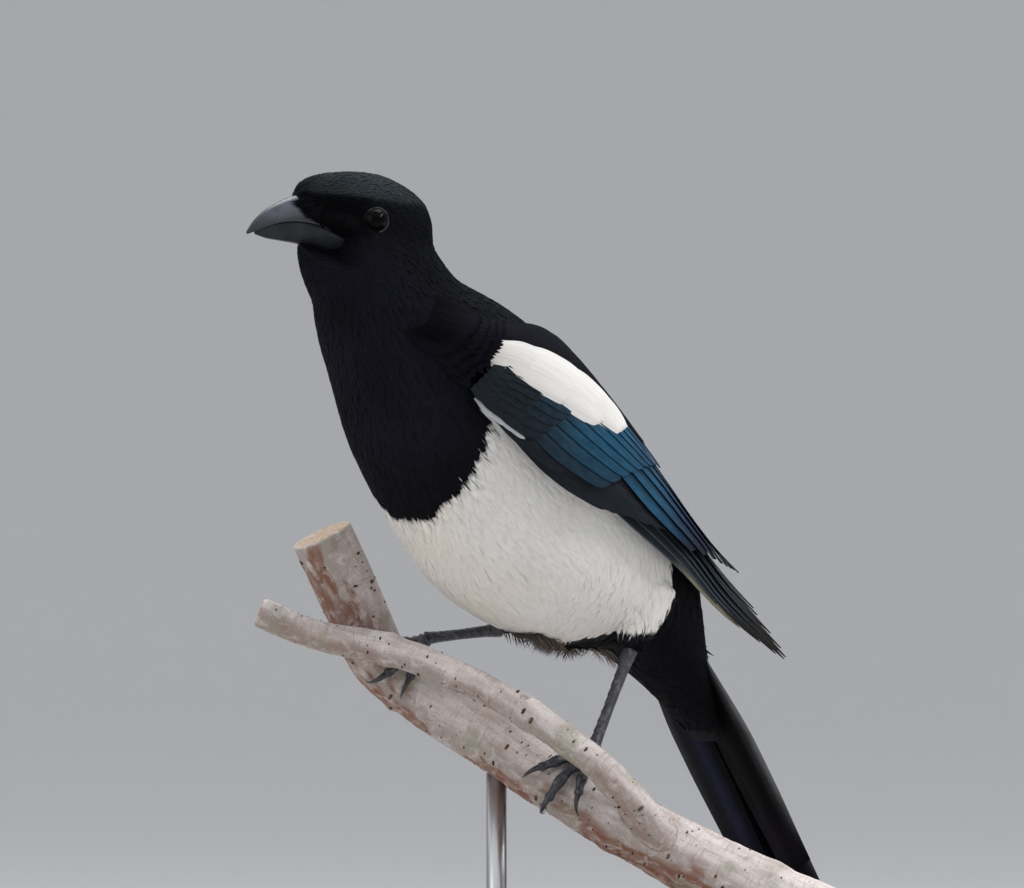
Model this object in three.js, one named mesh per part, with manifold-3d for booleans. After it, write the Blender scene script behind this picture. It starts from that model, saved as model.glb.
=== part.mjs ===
// A life-size Eurasian magpie gripping a cut length of branch, on a display stand.
// Sizes are millimetres and +Z is up. The bird faces -X, so its left side is towards -Y.
import * as THREE from "three";
import { mergeVertices } from "three/addons/utils/BufferGeometryUtils.js";
import Module from "manifold-3d";

const wasm = await Module();
wasm.setup();

// Clearance between neighbouring pieces.
const GAP = 0.3;
const X = 0;
const Y = 1;
const Z = 2;

// Torso and neck, from the undertail coverts up to the crown end of the neck.
// Each row is the middle's x and z, the half depth across the body and the half width.
const BODY_ROWS = [
  [118, -31, 4, 13],
  [100, -5, 8.5, 16.5],
  [83, 20, 15, 23],
  [66, 42, 29, 33],
  [41, 60, 43, 41.5],
  [12.4, 80, 50.3, 47],
  [-11.5, 103.4, 47.6, 46],
  [-33.4, 125.6, 41.5, 41.5],
  [-52.6, 146.4, 31.5, 32],
  [-64.5, 166, 27.5, 24.5],
  [-76, 181, 24.5, 18],
  [-76, 191, 13, 11],
];
const BODY_RINGS = 26;
const BODY_SIDES = 24;

// Head, along its own forward axis from the nape to the forehead.
// Each row is the distance forward, the top, the bottom and the half width.
const HEAD_ROWS = [
  [-29, 2, -8, 4],
  [-25, 9, -14, 10.5],
  [-18, 14.5, -18, 15],
  [-8, 19, -20, 17.4],
  [2, 20.4, -18.5, 17.2],
  [11, 20.2, -14.5, 14.6],
  [18, 19.2, -10.5, 11],
  [24, 17.2, -7.5, 8.4],
  [28, 14, -5, 6.4],
  [30, 10.5, -1, 4],
];
const HEAD_MIDDLE = [-70.3, 0, 186.4];
const HEAD_TURN = 15; // degrees, to the bird's right
const HEAD_RINGS = 15;
const HEAD_SIDES = 20;

// Line of the mouth: distance forward, height, half width of the upper and of the lower mandible.
const MOUTH_ROWS = [
  [9, -6.8, 9.0, 9.4],
  [15, -3.8, 9.0, 8.8],
  [21, -1, 8.0, 7.4],
  [28, 0.5, 6.6, 5.8],
  [34, 0.5, 5.4, 4.6],
  [40, -0.9, 3.9, 3.1],
  [45, -2.9, 2.1, 0.8],
  [48.4, -4.2, 0.6, 0.4],
];
// Ridge of the upper mandible and keel of the lower one, at the same distances forward.
const CULMEN = [4, 10, 12.5, 11, 8.8, 5.7, 1.6, -2.9];
const GONYS = [-11.2, -10.8, -9.8, -8, -7, -6, -4.4, -4.5];
const LOWER_BILL_ROWS = 7;
const BILL_SIDES = 7;

// Eyes, in the head's frame: distance forward, height, radius and how far in the middle sits.
const EYE = { forward: 0.5, height: 1.2, radius: 5, sunk: 2.7, lid: 0.75, toe: 12 };

// Folded left wing: its lower and upper edges from the bend to the tip, as x, y, z.
const WING_LOWER = [
  [-52, -38, 127],
  [-20, -54, 97],
  [18, -56, 75],
  [54, -48, 57],
  [90, -32, 36],
  [131, -20, 13],
];
const WING_UPPER = [
  [-32, -34, 145],
  [8, -24, 139.5],
  [42.5, -20, 109.5],
  [75, -14, 77],
  [106, -11, 56],
  [131, -13, 37],
];
const WING_BULGE = [9, 11.5, 9.5, 6.5, 4, 1];
const PAD_END = 0.5;
const PAD_TOP = 1.5;
const PAD_DEPTH = 6.5;
const PAD_RINGS = 8;
const PAD_STEPS = 5;

// Rows of wing feathers. Ends are [along, across] on the wing; lift is the height off its sheet.
const WING_ROWS = [
  { name: "primary", count: 6, root: [0.2, 0.05, 0.34, 0.34], tip: [0.88, 0.02, 0.985, 0.72],
    half: 6.0, lift: [-1.2, -2.4], thick: 0.6, reach: 0.05 },
  { name: "secondary", count: 7, root: [0.3, 0.28, 0.3, 0.86], tip: [0.76, 0.3, 0.84, 0.94],
    half: 8, lift: [0.2, 0.4], thick: 0.6, reach: 0.0 },
  { name: "covert", count: 6, root: [0.11, 0.15, 0.16, 0.74], tip: [0.42, 0.12, 0.6, 0.76],
    half: 6.6, lift: [0.9, 2.9], thick: 0.6, reach: 0.0 },
  { name: "scapular", count: 3, root: [0.09, 0.55, 0.09, 0.79], tip: [0.35, 0.6, 0.44, 0.86],
    half: 7, lift: [1.2, 4.4], thick: 0.7, reach: 0.0 },
];

// Tail feathers on each side, from the middle pair outwards, folded one under another.
const TAIL_ROOT = [88.9, 0, 27.8];
const TAIL_DROP = 57.5; // degrees below level
const TAIL = {
  lengths: [209, 196, 176, 154, 131, 108],
  inner: 0.25,
  overlap: 9.5,
  outer: 14.5,
  step: 1.9,
  thick: 0.55,
  layer: 0.88,
};

// Branch and side shoot, as x, y, z of the middle with its radius.
const BRANCH_ROWS = [
  [-47, 52, 66, 12.6],
  [-35, 48, 40, 12.4],
  [-25.5, 43.5, 18, 12.2],
  [-12, 32.5, 3, 12],
  [2, 4.5, -15.5, 12],
  [15.8, -23.5, -34.4, 12],
  [36, -52, -53, 13.4],
  [60, -78, -72, 15],
  [84, -100, -85, 14],
  [106, -120, -92, 13],
];
const SHOOT_ROWS = [
  [-77, 54, 36, 6.4],
  [-60, 40, 27, 6.3],
  [-38, 22, 21, 6.6],
  [-23, 0, 11.5, 6.2],
  [-9, -24, -2, 6.2],
  [5.6, -46, -20, 6.4],
  [17, -55, -34, 6.8],
  [33, -59, -52, 8],
  [48, -66, -64, 9],
];
const BRANCH_SIDES = 14;
const SHOOT_SIDES = 10;
const BRANCH_RINGS = 22;
const SHOOT_RINGS = 18;

// Legs. The station is the place along the branch's rows where the foot grips.
const LEGS = {
  left: { hip: [54, -25, 45], heel: [43, -27, 19.5], station: 5.0 },
  right: { hip: [41, 27, 50], heel: [20, 25, 28.5], station: 2.45 },
};
const ANKLE_HEIGHT = 6.5;
const SHANK = { top: 3.0, middle: 2.1, bottom: 2.6 };
const THIGH = { top: 17, bottom: 6 };
// Toes: angle from straight ahead, length, claw length.
const TOES = [
  { turn: -26, length: 21, claw: 9 },
  { turn: 2, length: 27, claw: 11 },
  { turn: 27, length: 21, claw: 9 },
  { turn: 180, length: 17, claw: 13 },
];
const TOE_LEAN = 0.25; // how far the toes keep to the bird's own forward direction
const TOE_RADIUS = 2.2;
const CLAW_RADIUS = 1.5;

// Stand.
const BASE = { radius: 92, height: 14, edge: 3, middle: [20, -6] };
const FLOOR = -162; // height of the floor in the bird's own frame
const ROD = { radius: 4, at: [2, 4.5] };
const COLLAR = { radius: 8, height: 5 };

const COLOURS = {
  black: { color: 0x14151a, roughness: 0.6, metalness: 0 },
  blue: { color: 0x1c3a4e, roughness: 0.45, metalness: 0 },
  breast: { color: 0x1a1a1e, roughness: 0.8, metalness: 0 },
  white: { color: 0xe8e4dc, roughness: 0.85, metalness: 0 },
  bill: { color: 0x2a2c33, roughness: 0.35, metalness: 0 },
  eye: { color: 0x120c09, roughness: 0.08, metalness: 0 },
  leg: { color: 0x23252c, roughness: 0.5, metalness: 0 },
  bark: { color: 0xa58f86, roughness: 0.85, metalness: 0 },
  wood: { color: 0x6b4a30, roughness: 0.5, metalness: 0 },
  steel: { color: 0x8c8f93, roughness: 0.35, metalness: 1 },
};

const V = (x, y, z) => new THREE.Vector3(x, y, z);
const vector = (row) => V(row[X], row[Y], row[Z]);
const radians = THREE.MathUtils.degToRad;
const mix = THREE.MathUtils.lerp;

// A smooth curve through rows of numbers; 0 gives the first row and 1 the last.
function through(rows) {
  const last = rows.length - 1;
  const row = (k) =>
    k < 0 ? rows[0].map((v, i) => 2 * v - rows[1][i])
      : k > last ? rows[last].map((v, i) => 2 * v - rows[last - 1][i]) : rows[k];
  return (t) => {
    const place = t * last;
    const k = THREE.MathUtils.clamp(Math.floor(place), 0, last - 1);
    const f = place - k;
    return rows[0].map((_, i) => {
      const [a, b, c, d] = [k - 1, k, k + 1, k + 2].map((n) => row(n)[i]);
      const start = (c - a) / 2;
      const end = (d - b) / 2;
      return b + f * (start + f * (3 * (c - b) - 2 * start - end + f * (2 * (b - c) + start + end)));
    });
  };
}

// A closed solid from a geometry whose shared corners are merged.
function solid(geometry) {
  const plain = geometry.index ? geometry.toNonIndexed() : geometry.clone();
  plain.deleteAttribute("normal");
  plain.deleteAttribute("uv");
  const merged = mergeVertices(plain, 1e-4);
  const corners = merged.index.array;
  const triVerts = [];
  for (let i = 0; i < corners.length; i += 3) {
    const [a, b, c] = corners.subarray(i, i + 3);
    if (a !== b && b !== c && c !== a) triVerts.push(a, b, c);
  }
  const made = (order) => new wasm.Manifold(new wasm.Mesh({
    numProp: 3,
    vertProperties: merged.attributes.position.array,
    triVerts: new Uint32Array(order),
  }));
  const first = made(triVerts);
  return first.volume() > 0 ? first : made(triVerts.reverse());
}

// A closed solid over rings of points. From column `under` on, quads split the other way,
// so that both faces of a thin blade have the same triangles.
function loft(rings, under = Infinity) {
  const sides = rings[0].length;
  const middle = (ring) => ring.reduce((sum, p) => sum.add(p), V(0, 0, 0)).divideScalar(sides);
  const points = [...rings.flat(), middle(rings[0]), middle(rings.at(-1))];
  const index = [];
  const tail = (rings.length - 1) * sides;
  for (let i = 0; i < sides; i++) {
    const next = (i + 1) % sides;
    for (let row = 0; row < tail; row += sides) {
      const [a, b, c, d] = [row + i, row + next, row + sides + next, row + sides + i];
      index.push(...(i < under ? [a, b, c, a, c, d] : [a, b, d, b, c, d]));
    }
    index.push(tail + sides, next, i, tail + sides + 1, tail + i, tail + next);
  }
  return solid(new THREE.BufferGeometry().setFromPoints(points).setIndex(index));
}

// A tube of changing radius along a curve of rows [x, y, z, radius], with flat ends.
function tube(rows, rings, sides, grow = 0) {
  const at = through(rows);
  const points = Array.from({ length: rings + 1 }, (_, k) => at(k / rings));
  const frames = sweep(points.map(vector));
  return loft(points.map((row, k) => circle(vector(row), frames[k], row[3] + grow, sides)));
}

// Directions that stay square to a path without twisting.
function sweep(path) {
  let side = null;
  return path.map((p, k) => {
    const ahead = path[Math.min(k + 1, path.length - 1)].clone()
      .sub(path[Math.max(k - 1, 0)]).normalize();
    const start = side ?? (Math.abs(ahead.z) < 0.9 ? V(0, 0, 1) : V(0, 1, 0));
    side = start.clone().addScaledVector(ahead, -start.dot(ahead)).normalize();
    return { ahead, side, up: V(0, 0, 0).crossVectors(ahead, side) };
  });
}

function circle(centre, frame, radius, sides) {
  return Array.from({ length: sides }, (_, i) => {
    const a = (2 * Math.PI * i) / sides;
    return centre.clone()
      .addScaledVector(frame.side, radius * Math.cos(a))
      .addScaledVector(frame.up, radius * Math.sin(a));
  });
}

function join(solids) {
  return wasm.Manifold.union(solids);
}

// Only the largest closed surface of a solid.
function largest(made) {
  return made.decompose().reduce((best, piece) => (piece.volume() > best.volume() ? piece : best));
}

function place(made, matrix) {
  return made.transform(matrix.elements);
}

// A thin slab square to `normal`, used to part one piece from the next.
function slab(point, normal) {
  const reach = 160;
  const box = solid(new THREE.BoxGeometry(reach, reach, GAP));
  const turn = new THREE.Quaternion().setFromUnitVectors(V(0, 0, 1), normal.clone().normalize());
  return place(box, new THREE.Matrix4().compose(point, turn, V(1, 1, 1)));
}

// Torso, neck and tail coverts in one, before they are parted.
const bodyAt = through(BODY_ROWS);

function bodyRing(t, grow) {
  const step = 0.01;
  const [x, z, depth, width] = bodyAt(t);
  const [x0, z0] = bodyAt(Math.max(t - step, 0));
  const [x1, z1] = bodyAt(Math.min(t + step, 1));
  const up = V(z1 - z0, 0, x0 - x1).normalize();
  return Array.from({ length: BODY_SIDES }, (_, i) => {
    const a = (2 * Math.PI * i) / BODY_SIDES;
    return V(x, 0, z)
      .addScaledVector(up, (depth + grow) * Math.cos(a))
      .add(V(0, (width + grow) * Math.sin(a), 0));
  });
}

function bodyLoft(grow = 0) {
  return loft(Array.from({ length: BODY_RINGS + 1 }, (_, k) => bodyRing(k / BODY_RINGS, grow)));
}

// The head's own frame: x forward along the bill, y to the bird's left, z up.
const headFrame = new THREE.Matrix4()
  .makeRotationZ(Math.PI - radians(HEAD_TURN))
  .setPosition(vector(HEAD_MIDDLE));

function headLoft() {
  const at = through(HEAD_ROWS);
  return loft(Array.from({ length: HEAD_RINGS + 1 }, (_, k) => {
    const [forward, top, bottom, width] = at(k / HEAD_RINGS);
    return Array.from({ length: HEAD_SIDES }, (_, i) => {
      const a = (2 * Math.PI * i) / HEAD_SIDES;
      return V(forward, width * Math.sin(a), (top + bottom) / 2 + ((top - bottom) / 2) * Math.cos(a));
    });
  }));
}

// One mandible: a half-round section between the mouth line and its ridge or keel.
function mandible(upper, grow = 0) {
  const ridge = upper ? CULMEN : GONYS;
  const rows = MOUTH_ROWS.map(([forward, mouth, above, below], k) =>
    [forward, mouth, upper ? above : below, ridge[k]]).slice(0, upper ? undefined : LOWER_BILL_ROWS);
  const at = through(rows);
  const rings = 11;
  const sign = upper ? 1 : -1;
  return loft(Array.from({ length: rings + 1 }, (_, k) => {
    const [forward, mouth, width, edge] = at(k / rings);
    const half = width + grow;
    const flat = mouth + sign * (GAP / 2 - grow);
    const round = Array.from({ length: BILL_SIDES }, (_, i) => {
      const a = (Math.PI * i) / (BILL_SIDES - 1);
      const height = Math.max(sign * (edge - mouth), 0.6) + 2 * grow;
      return V(forward, half * Math.cos(a), flat + sign * (height * Math.sin(a) + 0.15));
    });
    return [...round, V(forward, -half * 0.6, flat), V(forward, half * 0.6, flat)];
  }));
}

// The share of the head's rows at a distance forward.
function headShare(forward) {
  const last = HEAD_ROWS.length - 1;
  const k = Math.max(HEAD_ROWS.findIndex((row) => row[0] > forward), 1);
  const [back, front] = [HEAD_ROWS[k - 1][0], HEAD_ROWS[k][0]];
  return (k - 1 + (forward - back) / (front - back)) / last;
}

// The eye's place in the head's frame: its middle is sunk behind the cheek, facing out.
function eyeMatrix(side) {
  const [, top, bottom, width] = through(HEAD_ROWS)(headShare(EYE.forward));
  const lift = (EYE.height - (top + bottom) / 2) / ((top - bottom) / 2);
  const surface = width * Math.sqrt(1 - lift * lift);
  const middle = V(EYE.forward, side * (surface - EYE.sunk), EYE.height);
  const out = V(Math.sin(radians(EYE.toe)), side * Math.cos(radians(EYE.toe)), 0);
  const turn = new THREE.Quaternion().setFromUnitVectors(V(0, 0, 1), out);
  return new THREE.Matrix4().compose(middle, turn, V(1, 1, 1));
}

function eyeball(side, grow = 0) {
  return place(solid(new THREE.SphereGeometry(EYE.radius + grow, 12, 8)), eyeMatrix(side));
}

function lid(side) {
  const ring = solid(new THREE.TorusGeometry(EYE.radius - 0.5, EYE.lid, 5, 14));
  const lifted = new THREE.Matrix4().makeTranslation(0, 0, EYE.sunk - 0.2);
  return place(ring, eyeMatrix(side).multiply(lifted));
}

// The folded wing is a sheet between its two edges that bulges outwards. along runs from the
// bend to the tip, across from the lower edge to the upper one, lift is off the sheet.
const lowerEdge = through(WING_LOWER);
const upperEdge = through(WING_UPPER);
const bulge = through(WING_BULGE.map((v) => [v]));

function sheet(along, across) {
  const low = vector(lowerEdge(along));
  const high = vector(upperEdge(along));
  const step = 0.01;
  const ahead = vector(lowerEdge(along + step)).sub(low);
  const out = V(0, 0, 0).crossVectors(high.clone().sub(low), ahead).normalize();
  if (out.y > 0) out.negate();
  const arch = across * (1 - across) * (5 - 2 * across);
  return low.lerp(high, across).addScaledVector(out, arch * bulge(along)[0]);
}

function wingFrame(along, across) {
  const step = 0.01;
  const point = sheet(along, across);
  const ahead = sheet(along + step, across).sub(point).normalize();
  const over = sheet(along, across + step).sub(point).normalize();
  const out = V(0, 0, 0).crossVectors(ahead, over).normalize();
  if (out.y > 0) out.negate();
  return { point, out };
}

function wingPoint(along, across, lift) {
  const { point, out } = wingFrame(along, across);
  return point.addScaledVector(out, lift);
}

// The fleshy front of the wing under the coverts.
function wingPad(grow = 0) {
  const rings = Array.from({ length: PAD_RINGS + 1 }, (_, k) => {
    const along = (PAD_END * k) / PAD_RINGS;
    const body = Math.sqrt(Math.sin((Math.PI * (k + 0.7)) / (PAD_RINGS + 1.4)));
    const row = (side, height) => Array.from({ length: PAD_STEPS + 1 }, (_, i) => {
      const across = mix(0.5 - (0.5 + grow / 50) * body, 0.5 + (0.5 + grow / 50) * body, i / PAD_STEPS);
      const swell = Math.sqrt(Math.max(Math.sin((Math.PI * (i + 0.25)) / (PAD_STEPS + 0.5)), 0));
      return wingPoint(along, across, side * (height * swell * body + grow));
    });
    return [...row(1, PAD_TOP), ...row(-1, PAD_DEPTH).reverse()];
  });
  return loft(rings, PAD_STEPS + 1);
}

// Share of a feather's full width at each place from root to tip.
const VANE_SHAPE = [[0, 0.5], [0.4, 0.96], [0.75, 0.97], [0.93, 0.62], [1, 0.16]];

// One feather: a thin blade. frameAt gives the middle, the direction
// across and the face's normal at each share of its length.
function vane(frameAt, half, thick) {
  return loft(VANE_SHAPE.map(([s, share]) => {
    const { middle, across, normal } = frameAt(s);
    const at = (side, height) => middle.clone()
      .addScaledVector(across, side * half * share)
      .addScaledVector(normal, height);
    const top = thick / 2;
    return [at(-1, top), at(1, top), at(1, -top), at(-1, -top)];
  }), 2);
}

// A row of wing feathers. Each lies over the one below it on the wing, like slates.
function wingRow(row, grow = 0) {
  const share = (i) => i / (row.count - 1);
  const path = (i, s) => {
    const f = share(i);
    const bow = row.reach * Math.sin(Math.PI * Math.min(f * 1.1, 1));
    const tip = mix(row.tip[0], row.tip[2], f) + bow;
    return [
      mix(mix(row.root[0], row.root[2], f), tip, s),
      mix(mix(row.root[1], row.root[3], f), mix(row.tip[1], row.tip[3], f), s),
      mix(row.lift[0], row.lift[1], Math.min(s * 2.2, 1)),
    ];
  };
  return Array.from({ length: row.count }, (_, i) => vane((s) => {
    const [along, across, lift] = path(i, s);
    const { out } = wingFrame(along, across);
    const middle = wingPoint(along, across, lift);
    const ahead = wingPoint(...path(i, s + 0.01)).sub(middle).normalize();
    const other = i < row.count - 1 ? i + 1 : i - 1;
    const over = V(0, 0, 0).crossVectors(out, ahead).normalize();
    const step = Math.abs(wingPoint(...path(other, s)).sub(middle).dot(over));
    const upwards = wingPoint(along, across + 0.01, lift).sub(middle).dot(over) > 0 ? 1 : -1;
    const tilt = Math.atan2(row.thick + 0.35, Math.max(step, 1.6));
    const flat = over.multiplyScalar(upwards);
    const across3 = flat.clone().multiplyScalar(Math.cos(tilt)).addScaledVector(out, -Math.sin(tilt));
    const normal = out.clone().multiplyScalar(Math.cos(tilt)).addScaledVector(flat, Math.sin(tilt));
    return { middle, across: across3, normal };
  }, row.half + grow, row.thick + 2 * grow));
}

function leftWing(grow = 0) {
  const pad = wingPad(grow > 0 ? grow + 0.3 : 0);
  return join([pad, ...WING_ROWS.flatMap((row) => wingRow(row, grow))]);
}

// Tail feathers, stacked with the middle pair on top. The two sides share their layers.
function tailVanes() {
  const drop = radians(TAIL_DROP);
  const back = V(Math.cos(drop), 0, -Math.sin(drop));
  const top = V(Math.sin(drop), 0, Math.cos(drop));
  const root = vector(TAIL_ROOT);
  return [1, -1].flatMap((side) => TAIL.lengths.map((length, i) => {
    const inner = i === 0 ? -TAIL.overlap : TAIL.inner;
    const outer = TAIL.outer + TAIL.step * i;
    const level = i === 0 ? (side > 0 ? 0 : 1) : i + 1;
    return vane((s) => ({
      middle: root.clone()
        .addScaledVector(back, length * s)
        .addScaledVector(top, -level * TAIL.layer)
        .add(V(0, side * (inner + outer) / 2, 0)),
      across: V(0, 1, 0),
      normal: top,
    }), (outer - inner) / 2, TAIL.thick);
  }));
}

// A foot on the branch: four jointed toes with claws, on a small pad under the ankle.
const branchAt = through(BRANCH_ROWS);

function branchFrame(station) {
  const last = BRANCH_ROWS.length - 1;
  const row = branchAt(station / last);
  const ahead = vector(branchAt((station + 0.05) / last))
    .sub(vector(branchAt((station - 0.05) / last)));
  const spacing = ahead.length() / 0.1;
  const along = ahead.normalize();
  const up = V(0, 0, 1).addScaledVector(along, -along.z).normalize();
  const front = V(0, 0, 0).crossVectors(along, up).normalize();
  if (front.x > 0) front.negate();
  return { middle: vector(row), radius: row[3], spacing, along, up, front };
}

// A point over the branch: how far round from the top, how far along, and how high.
function wrap(station, arc, slide, height) {
  const frame = branchFrame(station + slide / branchFrame(station).spacing);
  const radius = frame.radius + height;
  const angle = arc / (frame.radius + TOE_RADIUS);
  return frame.middle.clone()
    .addScaledVector(frame.up, radius * Math.cos(angle))
    .addScaledVector(frame.front, radius * Math.sin(angle));
}

function toe(station, spec) {
  const frame = branchFrame(station);
  const straight = V(-1, 0, 0);
  const lean = TOE_LEAN * Math.atan2(straight.dot(frame.along), straight.dot(frame.front));
  const turn = radians(spec.turn) + lean;
  const rest = TOE_RADIUS + GAP + 0.25;
  const joints = 7;
  const rows = Array.from({ length: joints + 1 }, (_, k) => {
    const s = k / joints;
    const far = spec.length * s;
    const p = wrap(station, far * Math.cos(turn), far * Math.sin(turn), rest + 1.2 * (1 - s) ** 2);
    const knuckle = 0.22 * Math.cos(s * Math.PI * 6);
    return [p.x, p.y, p.z, mix(TOE_RADIUS + 0.25, TOE_RADIUS - 0.3, s) + knuckle];
  });
  const bends = 5;
  const clawRows = Array.from({ length: bends + 1 }, (_, k) => {
    const s = k / bends;
    const far = spec.length - 1.5 + (spec.claw + 1.5) * s;
    const radius = mix(CLAW_RADIUS, 0.3, s);
    const height = CLAW_RADIUS + GAP + 0.3 + 2.2 * Math.sin(Math.PI * Math.min(s * 1.1, 1)) * (1 - s * 0.4)
      - (CLAW_RADIUS - radius) * 0.8 * s;
    const p = wrap(station, far * Math.cos(turn), far * Math.sin(turn), height);
    return [p.x, p.y, p.z, radius];
  });
  return [tube(rows, 6, 6), tube(clawRows, 4, 5)];
}

function foot(leg, shank) {
  const ankle = ankleOf(leg);
  const under = wrap(leg.station, 0, 0, TOE_RADIUS + GAP + 0.8);
  const pad = tube([
    [...ankle.toArray(), SHANK.bottom + 0.6],
    [...ankle.clone().lerp(under, 0.5).toArray(), SHANK.bottom + 0.9],
    [...under.toArray(), TOE_RADIUS + 0.5],
  ], 3, 8);
  return largest(join([pad, ...TOES.flatMap((spec) => toe(leg.station, spec))]).subtract(shank));
}

function ankleOf(leg) {
  return wrap(leg.station, 0, 0, ANKLE_HEIGHT);
}

function shank(leg, grow = 0) {
  const heel = vector(leg.heel);
  const ankle = ankleOf(leg);
  const down = ankle.clone().sub(heel).normalize();
  heel.addScaledVector(down, -grow);
  ankle.addScaledVector(down, grow);
  const rows = [
    [...heel.toArray(), SHANK.top],
    [...heel.clone().lerp(ankle, 0.2).toArray(), SHANK.middle + 0.3],
    [...heel.clone().lerp(ankle, 0.55).toArray(), SHANK.middle],
    [...heel.clone().lerp(ankle, 0.85).toArray(), SHANK.middle + 0.1],
    [...ankle.toArray(), SHANK.bottom],
  ];
  return tube(rows, 8, 8, grow);
}

function thigh(leg) {
  const hip = vector(leg.hip);
  const heel = vector(leg.heel);
  return tube([
    [...hip.toArray(), THIGH.top],
    [...hip.clone().lerp(heel, 0.5).toArray(), mix(THIGH.top, THIGH.bottom, 0.5)],
    [...heel.clone().lerp(hip, 0.12).toArray(), THIGH.bottom],
  ], 6, 14);
}

function perch() {
  return largest(join([
    tube(BRANCH_ROWS, BRANCH_RINGS, BRANCH_SIDES),
    tube(SHOOT_ROWS, SHOOT_RINGS, SHOOT_SIDES),
  ]));
}

function base() {
  const { radius, height, edge } = BASE;
  const outline = [V(0, 0, 0), V(radius - 1, 0, 0), V(radius, 1, 0)];
  const arcs = 3;
  for (let k = 0; k <= arcs; k++) {
    const a = (Math.PI / 2) * (k / arcs);
    outline.push(V(radius - edge + edge * Math.cos(a), height - edge + edge * Math.sin(a), 0));
  }
  outline.push(V(0, height, 0));
  const lathe = new THREE.LatheGeometry(outline.map((p) => new THREE.Vector2(p.x, p.y)), 40);
  lathe.rotateX(Math.PI / 2);
  lathe.translate(BASE.middle[X], BASE.middle[Y], FLOOR);
  return solid(lathe);
}

function column(radius, low, high, sides) {
  const geometry = new THREE.CylinderGeometry(radius, radius, high - low, sides);
  geometry.rotateX(Math.PI / 2);
  geometry.translate(ROD.at[X], ROD.at[Y], (low + high) / 2);
  return solid(geometry);
}

// Everything, placed and parted.
const top = FLOOR + BASE.height + GAP;
const perchSolid = perch();
const body = bodyLoft();
const bodyGrown = bodyLoft(GAP);
const ball = { left: eyeball(1, GAP), right: eyeball(-1, GAP) };
const bills = { upper: mandible(true), lower: mandible(false) };
const headOwn = join([headLoft(), lid(1), lid(-1)])
  .subtract(ball.left).subtract(ball.right)
  .subtract(mandible(true, GAP)).subtract(mandible(false, GAP));
const headWhole = place(headOwn, headFrame);
const billGrown = place(join([mandible(true, GAP), mandible(false, GAP)]), headFrame);

const wingLeft = largest(leftWing());
const wingRight = wingLeft.mirror([0, 1, 0]);
const seatLeft = leftWing(GAP);
const seatRight = seatLeft.mirror([0, 1, 0]);

const vent = slab(V(76, 0, 30), V(0.62, 0, -0.78));
const nape = slab(V(-66, 0, 168), V(-0.25, 0, 0.97));
const collarCut = slab(V(-24, 0, 122), V(-0.62, 0, 0.78));
const flesh = join([body, headWhole]).subtract(billGrown)
  .subtract(place(join([ball.left, ball.right]), headFrame))
  .subtract(seatLeft).subtract(seatRight)
  .subtract(shank(LEGS.left, GAP)).subtract(shank(LEGS.right, GAP))
  .subtract(join([vent, nape, collarCut]));
const lumps = flesh.decompose().sort((a, b) => b.volume() - a.volume()).slice(0, 4);
const byHeight = lumps.sort((a, b) => centreHeight(a) - centreHeight(b));

function centreHeight(piece) {
  const box = piece.boundingBox();
  return (box.min[Z] + box.max[Z]) / 2;
}

const [tailCore, torso, neck, head] = byHeight;
const tail = largest(join([tailCore, ...tailVanes()]));

const shanks = { left: shank(LEGS.left), right: shank(LEGS.right) };
const thighs = {};
const feet = {};
for (const side of ["left", "right"]) {
  const grown = shank(LEGS[side], GAP);
  thighs[side] = largest(thigh(LEGS[side]).subtract(bodyGrown).subtract(grown));
  feet[side] = foot(LEGS[side], grown);
}

const rod = column(ROD.radius, top, 0, 16).subtract(tube(BRANCH_ROWS, BRANCH_RINGS, BRANCH_SIDES, GAP));
const collar = column(COLLAR.radius, top, top + COLLAR.height, 24)
  .subtract(column(ROD.radius + GAP, top - 1, top + COLLAR.height + 1, 16));

const PIECES = [
  ["head", head, "black"],
  ["neck", neck, "breast"],
  ["torso", torso, "white"],
  ["bill_upper", place(bills.upper, headFrame), "bill"],
  ["bill_lower", place(bills.lower, headFrame), "bill"],
  ["eye_left", place(eyeball(1), headFrame), "eye"],
  ["eye_right", place(eyeball(-1), headFrame), "eye"],
  ["wing_left", wingLeft, "blue"],
  ["wing_right", wingRight, "blue"],
  ["tail", tail, "black"],
  ["thigh_left", thighs.left, "black"],
  ["thigh_right", thighs.right, "black"],
  ["shank_left", shanks.left, "leg"],
  ["shank_right", shanks.right, "leg"],
  ["foot_left", feet.left, "leg"],
  ["foot_right", feet.right, "leg"],
  ["perch", perchSolid, "bark"],
  ["stand_rod", largest(rod), "steel"],
  ["stand_collar", collar, "steel"],
  ["stand_base", base(), "wood"],
];

function mesh([name, made, colour]) {
  const { vertProperties, triVerts } = made.getMesh();
  const geometry = new THREE.BufferGeometry();
  geometry.setAttribute("position", new THREE.BufferAttribute(vertProperties, 3));
  geometry.setIndex(new THREE.BufferAttribute(triVerts, 1));
  geometry.computeVertexNormals();
  const piece = new THREE.Mesh(geometry, new THREE.MeshStandardMaterial(COLOURS[colour]));
  piece.name = name;
  return piece;
}

// The origin is the middle of the base's underside.
const magpie = new THREE.Group();
magpie.add(...PIECES.map(mesh));
magpie.position.set(-BASE.middle[X], -BASE.middle[Y], -FLOOR);
const part = new THREE.Group();
part.add(magpie);

export default part;
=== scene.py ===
"""Eurasian magpie on a cut branch: the looks of the model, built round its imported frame."""

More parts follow.
